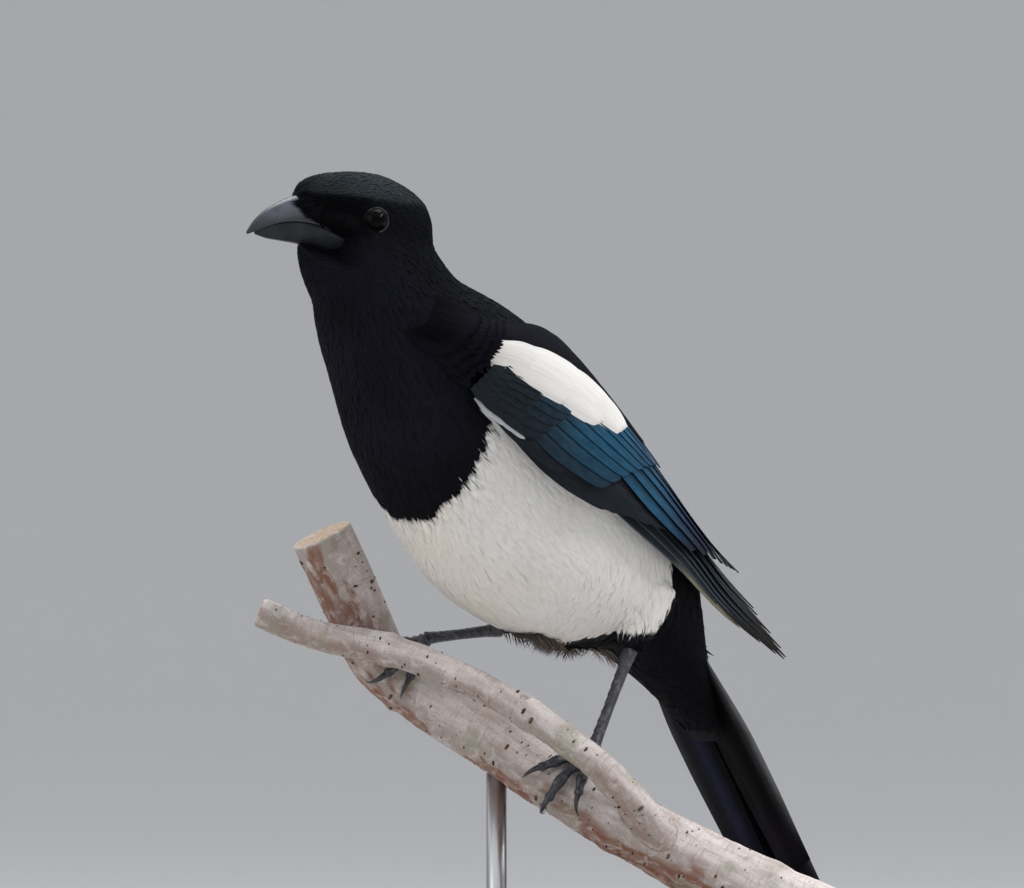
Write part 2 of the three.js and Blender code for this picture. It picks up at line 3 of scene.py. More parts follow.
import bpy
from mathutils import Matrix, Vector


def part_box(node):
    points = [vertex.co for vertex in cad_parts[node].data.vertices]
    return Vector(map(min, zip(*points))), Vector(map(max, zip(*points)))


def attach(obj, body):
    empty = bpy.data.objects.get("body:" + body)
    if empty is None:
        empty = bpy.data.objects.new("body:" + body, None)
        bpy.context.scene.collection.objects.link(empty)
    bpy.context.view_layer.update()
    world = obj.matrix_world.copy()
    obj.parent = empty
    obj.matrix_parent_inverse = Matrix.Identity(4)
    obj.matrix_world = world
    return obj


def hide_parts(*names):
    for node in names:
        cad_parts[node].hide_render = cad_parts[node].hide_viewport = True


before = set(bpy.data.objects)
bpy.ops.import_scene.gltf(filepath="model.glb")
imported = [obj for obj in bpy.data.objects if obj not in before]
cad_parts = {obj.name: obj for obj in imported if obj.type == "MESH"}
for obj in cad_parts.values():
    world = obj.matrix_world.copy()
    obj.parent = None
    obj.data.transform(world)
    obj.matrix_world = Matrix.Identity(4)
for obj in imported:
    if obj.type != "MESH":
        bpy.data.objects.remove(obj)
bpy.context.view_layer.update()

import itertools
import math

import bmesh
import bpy
import numpy as np
from bpy.props import FloatProperty, FloatVectorProperty, IntProperty, PointerProperty
from mathutils import Matrix, Vector, noise
from mathutils.bvhtree import BVHTree

bl_info = {
    "name": "Perched magpie",
    "version": (1, 0, 0),
    "blender": (4, 5, 0),
    "location": "3D View > Sidebar > Magpie",
    "description": "Feathers, bill, legs, branch and stand for a life-size magpie model",
    "category": "Object",
}

# Rows and sizes below are millimetres in the bird's own frame: it faces -X, and its left side is -Y.
ORIGIN = np.array([20.0, -6.0, -162.0])  # middle of the base's underside
BODY_ROWS = [
    [118, -31, 4, 13], [100, -5, 8.5, 16.5], [83, 20, 15, 23], [66, 42, 29, 33], [41, 60, 43, 41.5],
    [12.4, 80, 50.3, 47], [-11.5, 103.4, 47.6, 46], [-33.4, 125.6, 41.5, 41.5],
    [-52.6, 146.4, 31.5, 32], [-64.5, 166, 27.5, 24.5], [-76, 181, 24.5, 18], [-76, 191, 13, 11],
]
HEAD_ROWS = [
    [-29, 2, -8, 4], [-25, 9, -14, 10.5], [-18, 14.5, -18, 15], [-8, 19, -20, 17.4],
    [2, 20.4, -18.5, 17.2], [11, 20.2, -14.5, 14.6], [18, 19.4, -10.5, 11], [24, 17.4, -7.5, 8.4],
    [27.2, 14.2, -5, 6.4], [28.6, 10.5, -1, 4],
]
HEAD_MIDDLE = np.array([-70.3, 0, 186.4])
HEAD_TURN = math.radians(15)
MOUTH_ROWS = [
    [9, -6.8, 9.0, 9.4], [15, -3.8, 9.0, 8.8], [21, -1, 8.0, 7.4], [28, 0.5, 6.6, 5.8],
    [34, 0.5, 5.4, 4.6], [40, -0.9, 3.9, 3.1], [45, -2.9, 2.1, 0.8], [48.4, -4.2, 0.6, 0.4],
]
CULMEN = [4, 10, 12.5, 11, 8.8, 5.7, 1.6, -2.9]
GONYS = [-11.2, -10.8, -9.8, -8, -7, -6, -4.4, -4.5]
EYE = {"forward": 0.5, "height": 1.2, "radius": 5.0, "sunk": 2.7, "toe": math.radians(12)}
LID = {"radius": 4.70, "height": 2.05, "thick": 0.34}
WING_LOWER = [[-52, -38, 127], [-20, -54, 97], [18, -56, 75], [54, -48, 57], [90, -32, 36], [131, -20, 13]]
WING_UPPER = [[-32, -34, 145], [8, -24, 139.5], [42.5, -20, 109.5], [75, -14, 77], [106, -11, 56],
              [131, -13, 37]]
WING_BULGE = [[9], [11.5], [9.5], [6.5], [4], [1]]
TAIL_ROOT = np.array([88.9, 0, 27.8])
TAIL_DROP = math.radians(57.5)
TAIL_LENGTHS = [209, 196, 176, 154, 131, 108]
BRANCH_ROWS = [
    [-47, 52, 66, 12.6], [-35, 48, 40, 12.4], [-25.5, 43.5, 18, 12.2], [-12, 32.5, 3, 12],
    [2, 4.5, -15.5, 12], [15.8, -23.5, -34.4, 12], [36, -52, -53, 13.4], [60, -78, -72, 15],
    [84, -100, -85, 14], [106, -120, -92, 13],
]
SHOOT_ROWS = [
    [-77, 54, 36, 6.4], [-60, 40, 27, 6.3], [-38, 22, 21, 6.6], [-23, 0, 11.5, 6.2],
    [-9, -24, -2, 6.2], [5.6, -46, -20, 6.4], [17, -55, -34, 6.8], [33, -59, -52, 8], [48, -66, -64, 9],
]
# Middle and size of each knot.
SCARS = [((-10.5, -27.0, 3.0), 3.0), ((-60.5, 33.0, 33.0), 2.6), ((-27, 36, 11), 3.4), ((37, -66, -57), 4.0)]
CURVE = 160  # points along the middle line of the branch, and as many along the shoot's
LEGS = {
    "left": {"hip": np.array([54.0, -25, 45]), "heel": np.array([43, -27, 19.5]), "station": 5.0},
    "right": {"hip": np.array([41.0, 27, 50]), "heel": np.array([20, 25, 28.5]), "station": 2.45},
}
TOES = [(-26, 21, 9), (2, 27, 11), (27, 21, 9), (180, 17, 13)]
TOE_RADIUS = 2.2
FAR_TIP_OUT = 12  # how far the far wing's tips are set outwards
FAR_FRONT = np.array([2.4, -1.8, 0])  # and how its front is moved in
FAR_CAPE_START = 26  # first shoulder feather of each row on the far side
SKIN_VOXEL, BARK_VOXEL = 0.0012, 0.00085
BASE_RADIUS, BASE_HIGH = 0.092, 0.014
PIECE_TRIANGLES = 195000  # a coat piece with more is parted into left and right
FLUFF_DARK, FLUFF_BROWN, FLUFF_TIP = (0.03, 0.025, 0.022), (0.10, 0.085, 0.07), (0.24, 0.205, 0.175)
FLOOR_FLAT, FLOOR_BEND, FLOOR_WALL = 9, 9, 12.0
# Name, place to the right, towards the camera and up, size, power and colour.
LIGHTS = (
    ("key", (1.7, 1.0, 1.8), 0.6, 17.0, (1.0, 0.98, 0.95)),
    ("catch", (1.6, -0.2, 1.9), 0.26, 15.0, (1.0, 1.0, 1.0)),
    ("sky", (0.1, -0.9, 2.2), 1.8, 40.0, (0.93, 0.96, 1.0)),
    ("fill", (-2.0, 1.2, 0.9), 1.6, 12.0, (1.0, 0.99, 0.97)),
)

# Share of the body's length at which the black bib ends and the black vent begins, by the angle
# from the back line, 0, to the belly line, 180.
BIB_EDGE = [[0, 0.70], [80, 0.67], [102, 0.650], [108, 0.634], [112, 0.610], [118, 0.600], [128, 0.586],
            [146, 0.570], [158, 0.562], [166, 0.553], [180, 0.556]]
VENT_EDGE = [[0, 0.40], [70, 0.345], [78, 0.332], [84, 0.318], [98, 0.295], [108, 0.286], [118, 0.28],
             [130, 0.259], [142, 0.25], [180, 0.25]]

_, Y, Z = np.eye(3)
NEIGHBOURS = list(itertools.product((0, -1, 1), repeat=3))


def through(rows):
    """A smooth curve through rows of numbers; 0 gives the first row and 1 the last."""
    rows = np.asarray(rows, float)
    last = len(rows) - 1
    padded = np.vstack([2 * rows[0] - rows[1], rows, 2 * rows[-1] - rows[-2]])

    def at(t):
        place = np.asarray(t, float) * last
        k = np.clip(np.floor(place).astype(int), 0, last - 1)
        f = (place - k)[..., None]
        a, b, c, d = (padded[k + i] for i in range(4))
        start, end = (c - a) / 2, (d - b) / 2
        return b + f * (start + f * (3 * (c - b) - 2 * start - end + f * (2 * (b - c) + start + end)))

    return at


def unit(v):
    return v / np.maximum(np.linalg.norm(v, axis=-1, keepdims=True), 1e-9)


def dot(a, b):
    return (a * b).sum(-1)


def ease(x, low, high):
    """0 below low, 1 above high, and smooth between."""
    t = np.clip((np.asarray(x, float) - low) / (high - low), 0, 1)
    return t * t * (3 - 2 * t)


def in_row(points):
    """Millimetres in the bird's frame to metres in the row frame."""
    return (np.asarray(points, float) - ORIGIN) * 0.001


body_at, head_at = through(BODY_ROWS), through(HEAD_ROWS)
lower_edge, upper_edge, bulge = through(WING_LOWER), through(WING_UPPER), through(WING_BULGE)
branch_at, shoot_at = through(BRANCH_ROWS), through(SHOOT_ROWS)
FORWARD = np.array([-math.cos(HEAD_TURN), math.sin(HEAD_TURN), 0.0])
LEFT = np.array([-math.sin(HEAD_TURN), -math.cos(HEAD_TURN), 0.0])


def from_head(local):
    """Points in the head's frame (forward, left, up) to the bird's frame."""
    local = np.asarray(local, float)
    return HEAD_MIDDLE + local[..., :1] * FORWARD + local[..., 1:2] * LEFT + local[..., 2:] * Z


def to_head(points):
    rel = points - HEAD_MIDDLE
    return np.stack([rel @ FORWARD, rel @ LEFT, rel @ Z], -1)


def body_section(t):
    """Middle, back direction, half depth and half width of the body at each share of its length."""
    t = np.asarray(t, float)
    row = body_at(t)
    before, after = body_at(np.maximum(t - 0.01, 0)), body_at(np.minimum(t + 0.01, 1))
    up = unit(np.stack([after[..., 1] - before[..., 1], 0 * t, before[..., 0] - after[..., 0]], -1))
    return np.stack([row[..., 0], 0 * t, row[..., 1]], -1), up, row[..., 2], row[..., 3]


def body_point(t, a, grow=0.0):
    middle, up, depth, width = body_section(t)
    return (middle + up * ((depth + grow) * np.cos(a))[..., None]
            + Y * ((width + grow) * np.sin(a))[..., None])


def body_place(points):
    """Share of the body's length and angle from its back line, in degrees, of points near it."""
    share = np.linspace(0, 1, 301)
    middle, up, depth, width = body_section(share)
    far = ((points[:, None, [0, 2]] - middle[None][:, :, [0, 2]]) ** 2).sum(-1)
    k = far.argmin(1)
    rel = points - middle[k]
    return share[k], np.degrees(np.arctan2(rel[:, 1] / width[k], dot(rel, up[k]) / depth[k]))


def face_form(forward, height):
    """How the head's width swells at the brow and is drawn in before the eye."""
    brow = 0.05 * np.exp(-(((height - 9.5) / 3.5) ** 2)) * ease(forward, -10, 2) * (1 - ease(forward, 14, 24))
    lore = 0.05 * np.exp(-(((height - 3.5) / 4) ** 2)) * ease(forward, 4, 9) * (1 - ease(forward, 16, 22))
    return 1 + brow - lore


def bill_lines(forward):
    """Mouth line, half widths above and below it, ridge and keel of the bill at stations along it."""
    station, *lines = np.transpose(MOUTH_ROWS)
    return [np.interp(forward, station, line) for line in (*lines, CULMEN, GONYS)]


def beside_bill(local):
    """Points of the head's frame drawn in beside the bill, so that its base lies open to the gape."""
    forward, side, height = np.moveaxis(local, -1, 0)
    mouth, above, below, top, keel = bill_lines(forward)
    up = np.clip((height - mouth) / np.maximum(top - mouth, 0.5), 0, 1)
    down = np.clip((mouth - height) / np.maximum(mouth - keel, 0.5), 0, 1)
    horn = np.where(height > mouth, above * np.sqrt(1 - up ** 2), below * np.sqrt(1 - down ** 2)) - 1.1
    patch = np.interp(forward, [9, 14, 25.5, 30], [-6.5, -4, 2, 6])
    under = 3.2 + 1.5 * (keel - height) + 0.06 * np.maximum(keel - height, 0) ** 2
    limit = np.where(height < keel + 1.2, np.maximum(under, np.minimum(horn, 3.2)), horn)
    limit = limit + 3.4 * np.maximum(height - patch, 0)
    limit = np.where(height < keel - 9, 60, limit)
    share = ease(forward, 7.6, 11.6) * (forward < 36)
    drawn = np.sign(side) * np.minimum(np.abs(side), np.maximum(limit, 0.5))
    return np.stack([forward, side * (1 - share) + drawn * share, height], -1)


def head_point(t, a, grow=0.0):
    """A point of the head in its own frame."""
    forward, top, bottom, width = np.moveaxis(head_at(t), -1, 0)
    height = (top + bottom) / 2 + ((top - bottom) / 2 + grow) * np.cos(a)
    side = (width + grow) * np.sin(a) * face_form(forward, height)
    return stacked(forward, side, height)


def sheet(along, across):
    """The folded left wing's surface: along from the bend to the tip, across from the lower edge up."""
    along, across = np.broadcast_arrays(np.asarray(along, float), np.asarray(across, float))
    low, high = lower_edge(along), upper_edge(along)
    out = unit(np.cross(high - low, lower_edge(along + 0.01) - low))
    out = np.where(out[..., 1:2] > 0, -out, out)
    arch = across * (1 - across) * (5 - 2 * across) * bulge(along)[..., 0]
    return low + (high - low) * across[..., None] + out * arch[..., None]


def sheet_out(along, across):
    point = sheet(along, across)
    out = unit(np.cross(sheet(along + 0.01, across) - point, sheet(along, across + 0.01) - point))
    return np.where(out[..., 1:2] > 0, -out, out)


def wing_point(along, across, lift):
    return sheet(along, across) + sheet_out(along, across) * np.asarray(lift, float)[..., None]


# Meshes
def ring_loft(rings):
    """A closed form over rings of points: a circle that is extruded from ring to ring."""
    bm = bmesh.new()
    ring = bmesh.ops.create_circle(bm, segments=len(rings[0]), radius=1.0)["verts"]
    for v, p in zip(ring, rings[0]):
        v.co = p
    first, edges = list(bm.edges), list(bm.edges)
    for points in rings[1:]:
        made = bmesh.ops.extrude_edge_only(bm, edges=edges)["geom"]
        edges = [g for g in made if isinstance(g, bmesh.types.BMEdge)]
        new = {g for g in made if isinstance(g, bmesh.types.BMVert)}
        ring = [next(e.other_vert(v) for e in v.link_edges if e.other_vert(v) in new) for v in ring]
        for v, p in zip(ring, points):
            v.co = p
    bmesh.ops.contextual_create(bm, geom=first)
    bmesh.ops.contextual_create(bm, geom=edges)
    bmesh.ops.recalc_face_normals(bm, faces=bm.faces)
    return bm


def spun(profile, steps, closed=False):
    """A profile of (radius, height) spun once round the z axis."""
    bm = bmesh.new()
    verts = [bm.verts.new((max(r, 0.0), 0, z)) for r, z in profile]
    edges = [bm.edges.new(pair) for pair in zip(verts, verts[1:])]
    if closed:
        edges.append(bm.edges.new((verts[-1], verts[0])))
    bmesh.ops.spin(bm, geom=verts + edges, cent=(0, 0, 0), axis=(0, 0, 1), angle=2 * math.pi, steps=steps,
                   use_merge=True)
    bmesh.ops.remove_doubles(bm, verts=bm.verts, dist=1e-5)
    bmesh.ops.recalc_face_normals(bm, faces=bm.faces)
    return bm


def frames_along(path):
    """Two directions square to a path at each of its points, without twist."""
    path = np.asarray(path, float)
    ahead = unit(np.gradient(path, axis=0))
    side = None
    sides = []
    for d in ahead:
        start = side if side is not None else (Z if abs(d[2]) < 0.9 else Y)
        side = unit(start - d * start.dot(d))
        sides.append(side)
    sides = np.array(sides)
    return ahead, sides, np.cross(ahead, sides)


def tube_rings(path, radii, sides, swell=None):
    """Rings round a path; swell(share, angle) changes the radius."""
    _, side, up = frames_along(path)
    angle = np.linspace(0, 2 * np.pi, sides, endpoint=False)
    share = np.linspace(0, 1, len(path))
    radius = np.asarray(radii, float)[:, None] * np.ones(sides)
    if swell is not None:
        radius = radius + swell(share[:, None], angle[None])
    return (np.asarray(path)[:, None] + side[:, None] * (radius * np.cos(angle))[..., None]
            + up[:, None] * (radius * np.sin(angle))[..., None])


def join_bmesh(parts):
    """One bmesh of several."""
    whole = bmesh.new()
    for bm in parts:
        spare = bpy.data.meshes.new("spare")
        bm.to_mesh(spare)
        bm.free()
        whole.from_mesh(spare)
        bpy.data.meshes.remove(spare)
    return whole


def piece(name, source, finish, replaces=(), levels=0):
    """A finished piece from a bmesh or a mesh in row-frame metres, riding on the root body."""
    if isinstance(source, bmesh.types.BMesh):
        mesh = bpy.data.meshes.new(name)
        source.to_mesh(mesh)
        source.free()
    else:
        mesh = source
        mesh.name = name
    obj = bpy.data.objects.new(name, mesh)
    bpy.context.scene.collection.objects.link(obj)
    mesh.materials.clear()
    mesh.materials.append(finish)
    mesh.polygons.foreach_set("use_smooth", [True] * len(mesh.polygons))
    if levels:
        sub = obj.modifiers.new("Subdivision", "SUBSURF")
        sub.levels = sub.render_levels = levels
    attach(obj, "root")
    if replaces:
        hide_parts(*replaces)
    return obj


def to_row(bm):
    """Moves a bmesh from the bird's millimetres to the row frame's metres."""
    shift = Matrix.Translation(-Vector(ORIGIN))
    bmesh.ops.transform(bm, matrix=Matrix.Scale(0.001, 4) @ shift, verts=bm.verts)
    return bm


def remeshed(bm, voxel, smoothing):
    """The one closed surface round everything in a bmesh, smoothed."""
    mesh = bpy.data.meshes.new("spare")
    bm.to_mesh(mesh)
    bm.free()
    obj = bpy.data.objects.new("spare", mesh)
    bpy.context.scene.collection.objects.link(obj)
    skin = obj.modifiers.new("Skin", "REMESH")
    skin.mode, skin.voxel_size = "VOXEL", voxel
    if smoothing:
        soft = obj.modifiers.new("Smooth", "SMOOTH")
        soft.iterations, soft.factor = smoothing, 0.5
    graph = bpy.context.evaluated_depsgraph_get()
    made = bpy.data.meshes.new_from_object(obj.evaluated_get(graph))
    bpy.data.objects.remove(obj)
    bpy.data.meshes.remove(mesh)
    return made


def positions(mesh):
    co = np.empty(len(mesh.vertices) * 3, np.float32)
    mesh.vertices.foreach_get("co", co)
    return co.reshape(-1, 3).astype(float)


def bird_points(mesh):
    """The vertices of a mesh in the bird's millimetres."""
    return positions(mesh) * 1000 + ORIGIN


def put_points(mesh, points):
    """Moves the vertices of a mesh to points in the bird's millimetres."""
    mesh.vertices.foreach_set("co", in_row(points).astype(np.float32).ravel())
    mesh.update()


def mesh_of(bm, name):
    """A mesh made from a bmesh in the bird's millimetres, which is freed."""
    mesh = bpy.data.meshes.new(name)
    to_row(bm).to_mesh(mesh)
    bm.free()
    return mesh


def stacked(*parts):
    """Coordinates or attribute values side by side, spread to one shape."""
    return np.stack(np.broadcast_arrays(*parts), -1)


def paint(mesh, name, colours):
    """A colour for each vertex, as an attribute that the materials read."""
    data = np.ones((len(mesh.vertices), 4), np.float32)
    data[:, :3] = colours
    layer = mesh.color_attributes.new(name, "FLOAT_COLOR", "POINT")
    layer.data.foreach_set("color", data.ravel())


def note(mesh, name, values):
    """A vector for each vertex, as an attribute that the materials read."""
    layer = mesh.attributes.new(name, "FLOAT_VECTOR", "POINT")
    layer.data.foreach_set("vector", np.asarray(values, np.float32).ravel())


def mesh_from(points, faces, colours, lie, bake, shading=None):
    """One mesh of many like forms: points (n, v, 3) in millimetres, faces (f, 3) of one form."""
    count, size = points.shape[:2]
    every = (faces[None] + (np.arange(count) * size)[:, None, None]).reshape(-1, 3)
    mesh = bpy.data.meshes.new("feathers")
    mesh.vertices.add(count * size)
    mesh.vertices.foreach_set("co", in_row(points).astype(np.float32).ravel())
    mesh.loops.add(every.size)
    mesh.loops.foreach_set("vertex_index", every.ravel().astype(np.int32))
    mesh.polygons.add(len(every))
    mesh.polygons.foreach_set("loop_start", np.arange(0, every.size, 3, dtype=np.int32))
    mesh.update(calc_edges=True)
    paint(mesh, "Coat", colours.reshape(-1, 3))
    note(mesh, "Lie", lie.reshape(-1, 3))
    layer = mesh.uv_layers.new(name="OFBake")
    layer.data.foreach_set("uv", bake.reshape(-1, 2)[every.ravel()].astype(np.float32).ravel())
    mesh.validate()
    if shading is not None:
        mesh.polygons.foreach_set("use_smooth", [True] * len(mesh.polygons))
        corner, wished = points[:, faces], shading[:, faces]
        cross = np.cross(corner[:, :, 1] - corner[:, :, 0], corner[:, :, 2] - corner[:, :, 0])
        sign = np.where(dot(cross, wished.mean(2)) < 0, -1, 1)
        if len(mesh.loops) != every.size:
            raise RuntimeError("a feather mesh lost faces")
        mesh.normals_split_custom_set(unit((wished * sign[..., None, None]).reshape(-1, 3)))
    return mesh


def soft_shading(points, faces, form, shading):
    """The wished normals of repeated tufts, drawn back to the form's own where the two disagree."""
    own = np.zeros_like(points)
    for face in faces[(form[faces][:, :, 1] > 0).any(1)]:
        a, b, c = (points[:, v] for v in face)
        cross = np.cross(b - a, c - a)
        for v in face:
            own[:, v] += cross
    own, wished = unit(own), unit(shading)
    share = ease(dot(own, wished), 0.1, 0.7)[..., None] * 0.7
    return unit(own * (1 - share) + wished * share)


def form_arrays(bm):
    """Vertices and outward triangles of one closed form, made ready to be repeated."""
    bmesh.ops.recalc_face_normals(bm, faces=bm.faces)
    bmesh.ops.triangulate(bm, faces=bm.faces)
    bm.verts.index_update()
    if any(len(e.link_faces) != 2 for e in bm.edges):
        raise RuntimeError("a repeated form isn't closed")
    points = np.array([v.co for v in bm.verts])
    faces = np.array([[v.index for v in f.verts] for f in bm.faces])
    bm.free()
    return points, faces


def spike_form(stations):
    """A three-sided blade: x across from -1 to 1, y the ridge's height 0 to 1, z the station."""
    bm = bmesh.new()
    face = bmesh.ops.create_circle(bm, segments=3, radius=1.0, cap_ends=True)["verts"]
    for v, corner in zip(face, ((-1, 0, 0), (1, 0, 0), (0, 1, 0))):
        v.co = corner
    top = list(bm.faces)
    for k in range(1, stations):
        old, made = top, bmesh.ops.extrude_face_region(bm, geom=top)["geom"]
        top = [g for g in made if isinstance(g, bmesh.types.BMFace)]
        if k > 1:
            bmesh.ops.delete(bm, geom=old, context="FACES_ONLY")
        bmesh.ops.translate(bm, vec=(0, 0, 1), verts=[g for g in made if isinstance(g, bmesh.types.BMVert)])
    tip = [v for f in top for v in f.verts]
    bmesh.ops.pointmerge(bm, verts=tip, merge_co=(0, 0, stations - 1))
    return form_arrays(bm)


def blade_form(wide, long):
    """A thin blade for a large feather: x across -1 to 1, y along 0 to 1, z 0 on top and -1 below."""
    bm = bmesh.new()
    bmesh.ops.create_grid(bm, x_segments=wide, y_segments=long, size=1.0)
    bmesh.ops.transform(bm, matrix=Matrix.Diagonal((1, 0.5, 1, 1)) @ Matrix.Translation((0, 1, 0)),
                        verts=bm.verts)
    made = bmesh.ops.extrude_face_region(bm, geom=bm.faces[:])["geom"]
    bmesh.ops.translate(bm, vec=(0, 0, -1), verts=[g for g in made if isinstance(g, bmesh.types.BMVert)])
    return form_arrays(bm)


# Finishes
class Finish:
    """One procedural material, built node by node."""

    def __init__(self, name, **values):
        self.material = bpy.data.materials.new(name)
        self.material.use_nodes = True
        self.nodes, self.links = self.material.node_tree.nodes, self.material.node_tree.links
        self.shader = next(n for n in self.nodes if n.type == "BSDF_PRINCIPLED")
        for socket, value in values.items():
            self.set(self.shader, socket.replace("_", " "), value)

    def set(self, node, socket, value):
        target = node.inputs[int(socket)] if str(socket).isdigit() else node.inputs[socket]
        if isinstance(value, bpy.types.NodeSocket):
            self.links.new(value, target)
        elif target.type == "RGBA" and len(value) == 3:
            target.default_value = (*value, 1)
        else:
            target.default_value = value

    def add(self, kind, inputs=(), **settings):
        node = self.nodes.new("ShaderNode" + kind)
        for key, value in settings.items():
            setattr(node, key, value)
        for socket, value in dict(inputs).items():
            self.set(node, socket, value)
        return node

    def place(self, scale=(1, 1, 1), turn=(0, 0, 0), source=None):
        """Object coordinates, or an attribute's, turned and scaled."""
        source = source or self.add("TexCoord").outputs["Object"]
        return self.add("Mapping", {"Vector": source, "Scale": scale, "Rotation": turn}).outputs[0]

    def attribute(self, name, output="Vector"):
        return self.add("Attribute", attribute_name=name).outputs[output]

    def noise(self, vector, scale, detail=3.0, rough=0.5, warp=0.0):
        return self.add("TexNoise", {"Vector": vector, "Scale": scale, "Detail": detail, "Roughness": rough,
                                     "Distortion": warp}).outputs["Fac"]

    def ramp(self, value, stops):
        node = self.add("ValToRGB", {"Fac": value})
        elements = node.color_ramp.elements
        while len(elements) < len(stops):
            elements.new(0.5)
        for element, (place, colour) in zip(elements, stops):
            element.position = place
            element.color = (*colour, 1)
        return node.outputs["Color"]

    def sum(self, operation, a, b):
        return self.add("Math", {"0": a, "1": b}, operation=operation).outputs[0]

    def span(self, value, low, high, out_low=0.0, out_high=1.0):
        return self.add("MapRange", {"Value": value, "From Min": low, "From Max": high, "To Min": out_low,
                                     "To Max": out_high}).outputs[0]

    def blend(self, share, a, b, kind="MIX"):
        node = self.add("Mix", data_type="RGBA", blend_type=kind)
        self.set(node, "0", share)
        self.set(node, "6", a)
        self.set(node, "7", b)
        return node.outputs[2]

    def bump(self, height, strength, distance):
        return self.add("Bump", {"Height": height, "Strength": strength, "Distance": distance}).outputs[0]

    def shaded(self, shade):
        """The painted markings, lighter or darker by a shade."""
        grey = self.add("CombineColor", {"0": shade, "1": shade, "2": shade}).outputs[0]
        return self.blend(1.0, self.attribute("Coat", "Color"), grey, "MULTIPLY")

    def done(self, **links):
        for socket, value in links.items():
            self.set(self.shader, socket.replace("_", " "), value)
        return self.material


def plumage(name, settings, low=0.80, high=1.12, depth=0.35):
    """Soft feathers: the markings' colour, fine barb streaks along each feather."""
    f = Finish(name, **settings)
    lie = f.place(scale=(7, 1.1, 31), source=f.attribute("Lie"))
    streak = f.noise(lie, 1.0, 2.0, 0.55)
    shade = f.span(streak, 0.3, 0.7, low, high)
    return f.done(Base_Color=f.shaded(shade), Normal=f.bump(streak, depth, 0.0003))


def glossy_vane(name, settings, dull=0.0):
    """Stiff flight feathers: slanting barbs on both sides of the shaft."""
    f = Finish(name, **settings)
    split = f.add("SeparateXYZ", {"Vector": f.attribute("Lie")})
    side = f.sum("ABSOLUTE", split.outputs[0], 0.0)
    slant = f.sum("SUBTRACT", split.outputs[1], f.sum("MULTIPLY", side, 0.12))
    barbs = f.add("TexWave",
                  {"Vector": f.add("CombineXYZ", {"0": slant, "1": 0.0, "2": split.outputs[2]}).outputs[0],
                              "Scale": 28.0, "Distortion": 1.2, "Detail": 2.0,
                   "Detail Scale": 2.0}).outputs["Fac"]
    cloud = f.noise(f.place(scale=(1, 5, 9), source=f.attribute("Lie")), 1.6, 4.0)
    shade = f.span(cloud, 0.3, 0.7, 0.72, 1.3)
    return f.done(Base_Color=f.shaded(shade), Roughness=f.span(cloud, 0.3, 0.7, 0.34 + dull, 0.5 + dull),
                  Normal=f.bump(barbs, 0.25, 0.0002))


def horn(name, settings):
    """Bill and claw horn: fine grain along its length, rubbed paler in places."""
    f = Finish(name, **settings)
    grain = f.noise(f.place(scale=(60, 260, 260), turn=(0, 0, -HEAD_TURN)), 4.0, 4.0, 0.6)
    patch = f.noise(f.place(scale=(120, 120, 120)), 1.0, 3.0)
    colour = f.blend(f.span(patch, 0.35, 0.75), f.attribute("Coat", "Color"), (0.032, 0.034, 0.042))
    return f.done(Base_Color=f.blend(f.span(grain, 0.45, 0.8, 0, 0.35), colour, (0.012, 0.012, 0.015)),
                  Roughness=f.span(grain, 0.3, 0.7, 0.24, 0.42), Normal=f.bump(grain, 0.12, 0.0002))


def scaled_skin(name, settings):
    """Scaled leg skin: dark plates with paler rubbed edges."""
    f = Finish(name, **settings)
    cells = f.add("TexVoronoi", {"Vector": f.place(scale=(900, 900, 900)), "Scale": 1.0},
                  feature="DISTANCE_TO_EDGE").outputs[0]
    rub = f.noise(f.place(scale=(500, 500, 500)), 1.0, 3.0)
    colour = f.blend(f.span(rub, 0.5, 0.72, 0, 0.75), f.attribute("Coat", "Color"), (0.13, 0.135, 0.15))
    return f.done(Base_Color=colour, Roughness=f.span(rub, 0.3, 0.7, 0.32, 0.55),
                  Normal=f.bump(f.span(cells, 0.0, 0.12), 0.3, 0.0002))


def smooth_colour(name, settings, grain=900.0, rough=(0.3, 0.45), strength=0.1):
    """A plain painted attribute with a fine grain."""
    f = Finish(name, **settings)
    fine = f.noise(f.place(scale=(grain,) * 3), 1.0, 2.0)
    return f.done(Base_Color=f.attribute("Coat", "Color"), Roughness=f.span(fine, 0.3, 0.7, *rough),
                  Normal=f.bump(fine, strength, 0.0001))


# Markings
def mixed(a, b, share):
    share = np.asarray(share, float)[..., None]
    return np.asarray(a) * (1 - share) + np.asarray(b) * share


def speckle(points, size, seed=0):
    """Smooth noise from -1 to 1 at each point."""
    shift = Vector((seed * 7.1, seed * 3.3, seed * 5.7))
    return np.array([noise.noise(Vector(p) / size + shift) for p in points])


def leg_distance(points, start):
    """Distance of each point from the nearer leg's line, which begins at a share of its length."""
    far = np.full(len(points), 99.0)
    for leg in LEGS.values():
        hip, run = leg["hip"], leg["heel"] - leg["hip"]
        s = np.clip((points - hip) @ run / (run @ run), start, 1)
        far = np.minimum(far, np.linalg.norm(points - hip - run * s[:, None], axis=1))
    return far


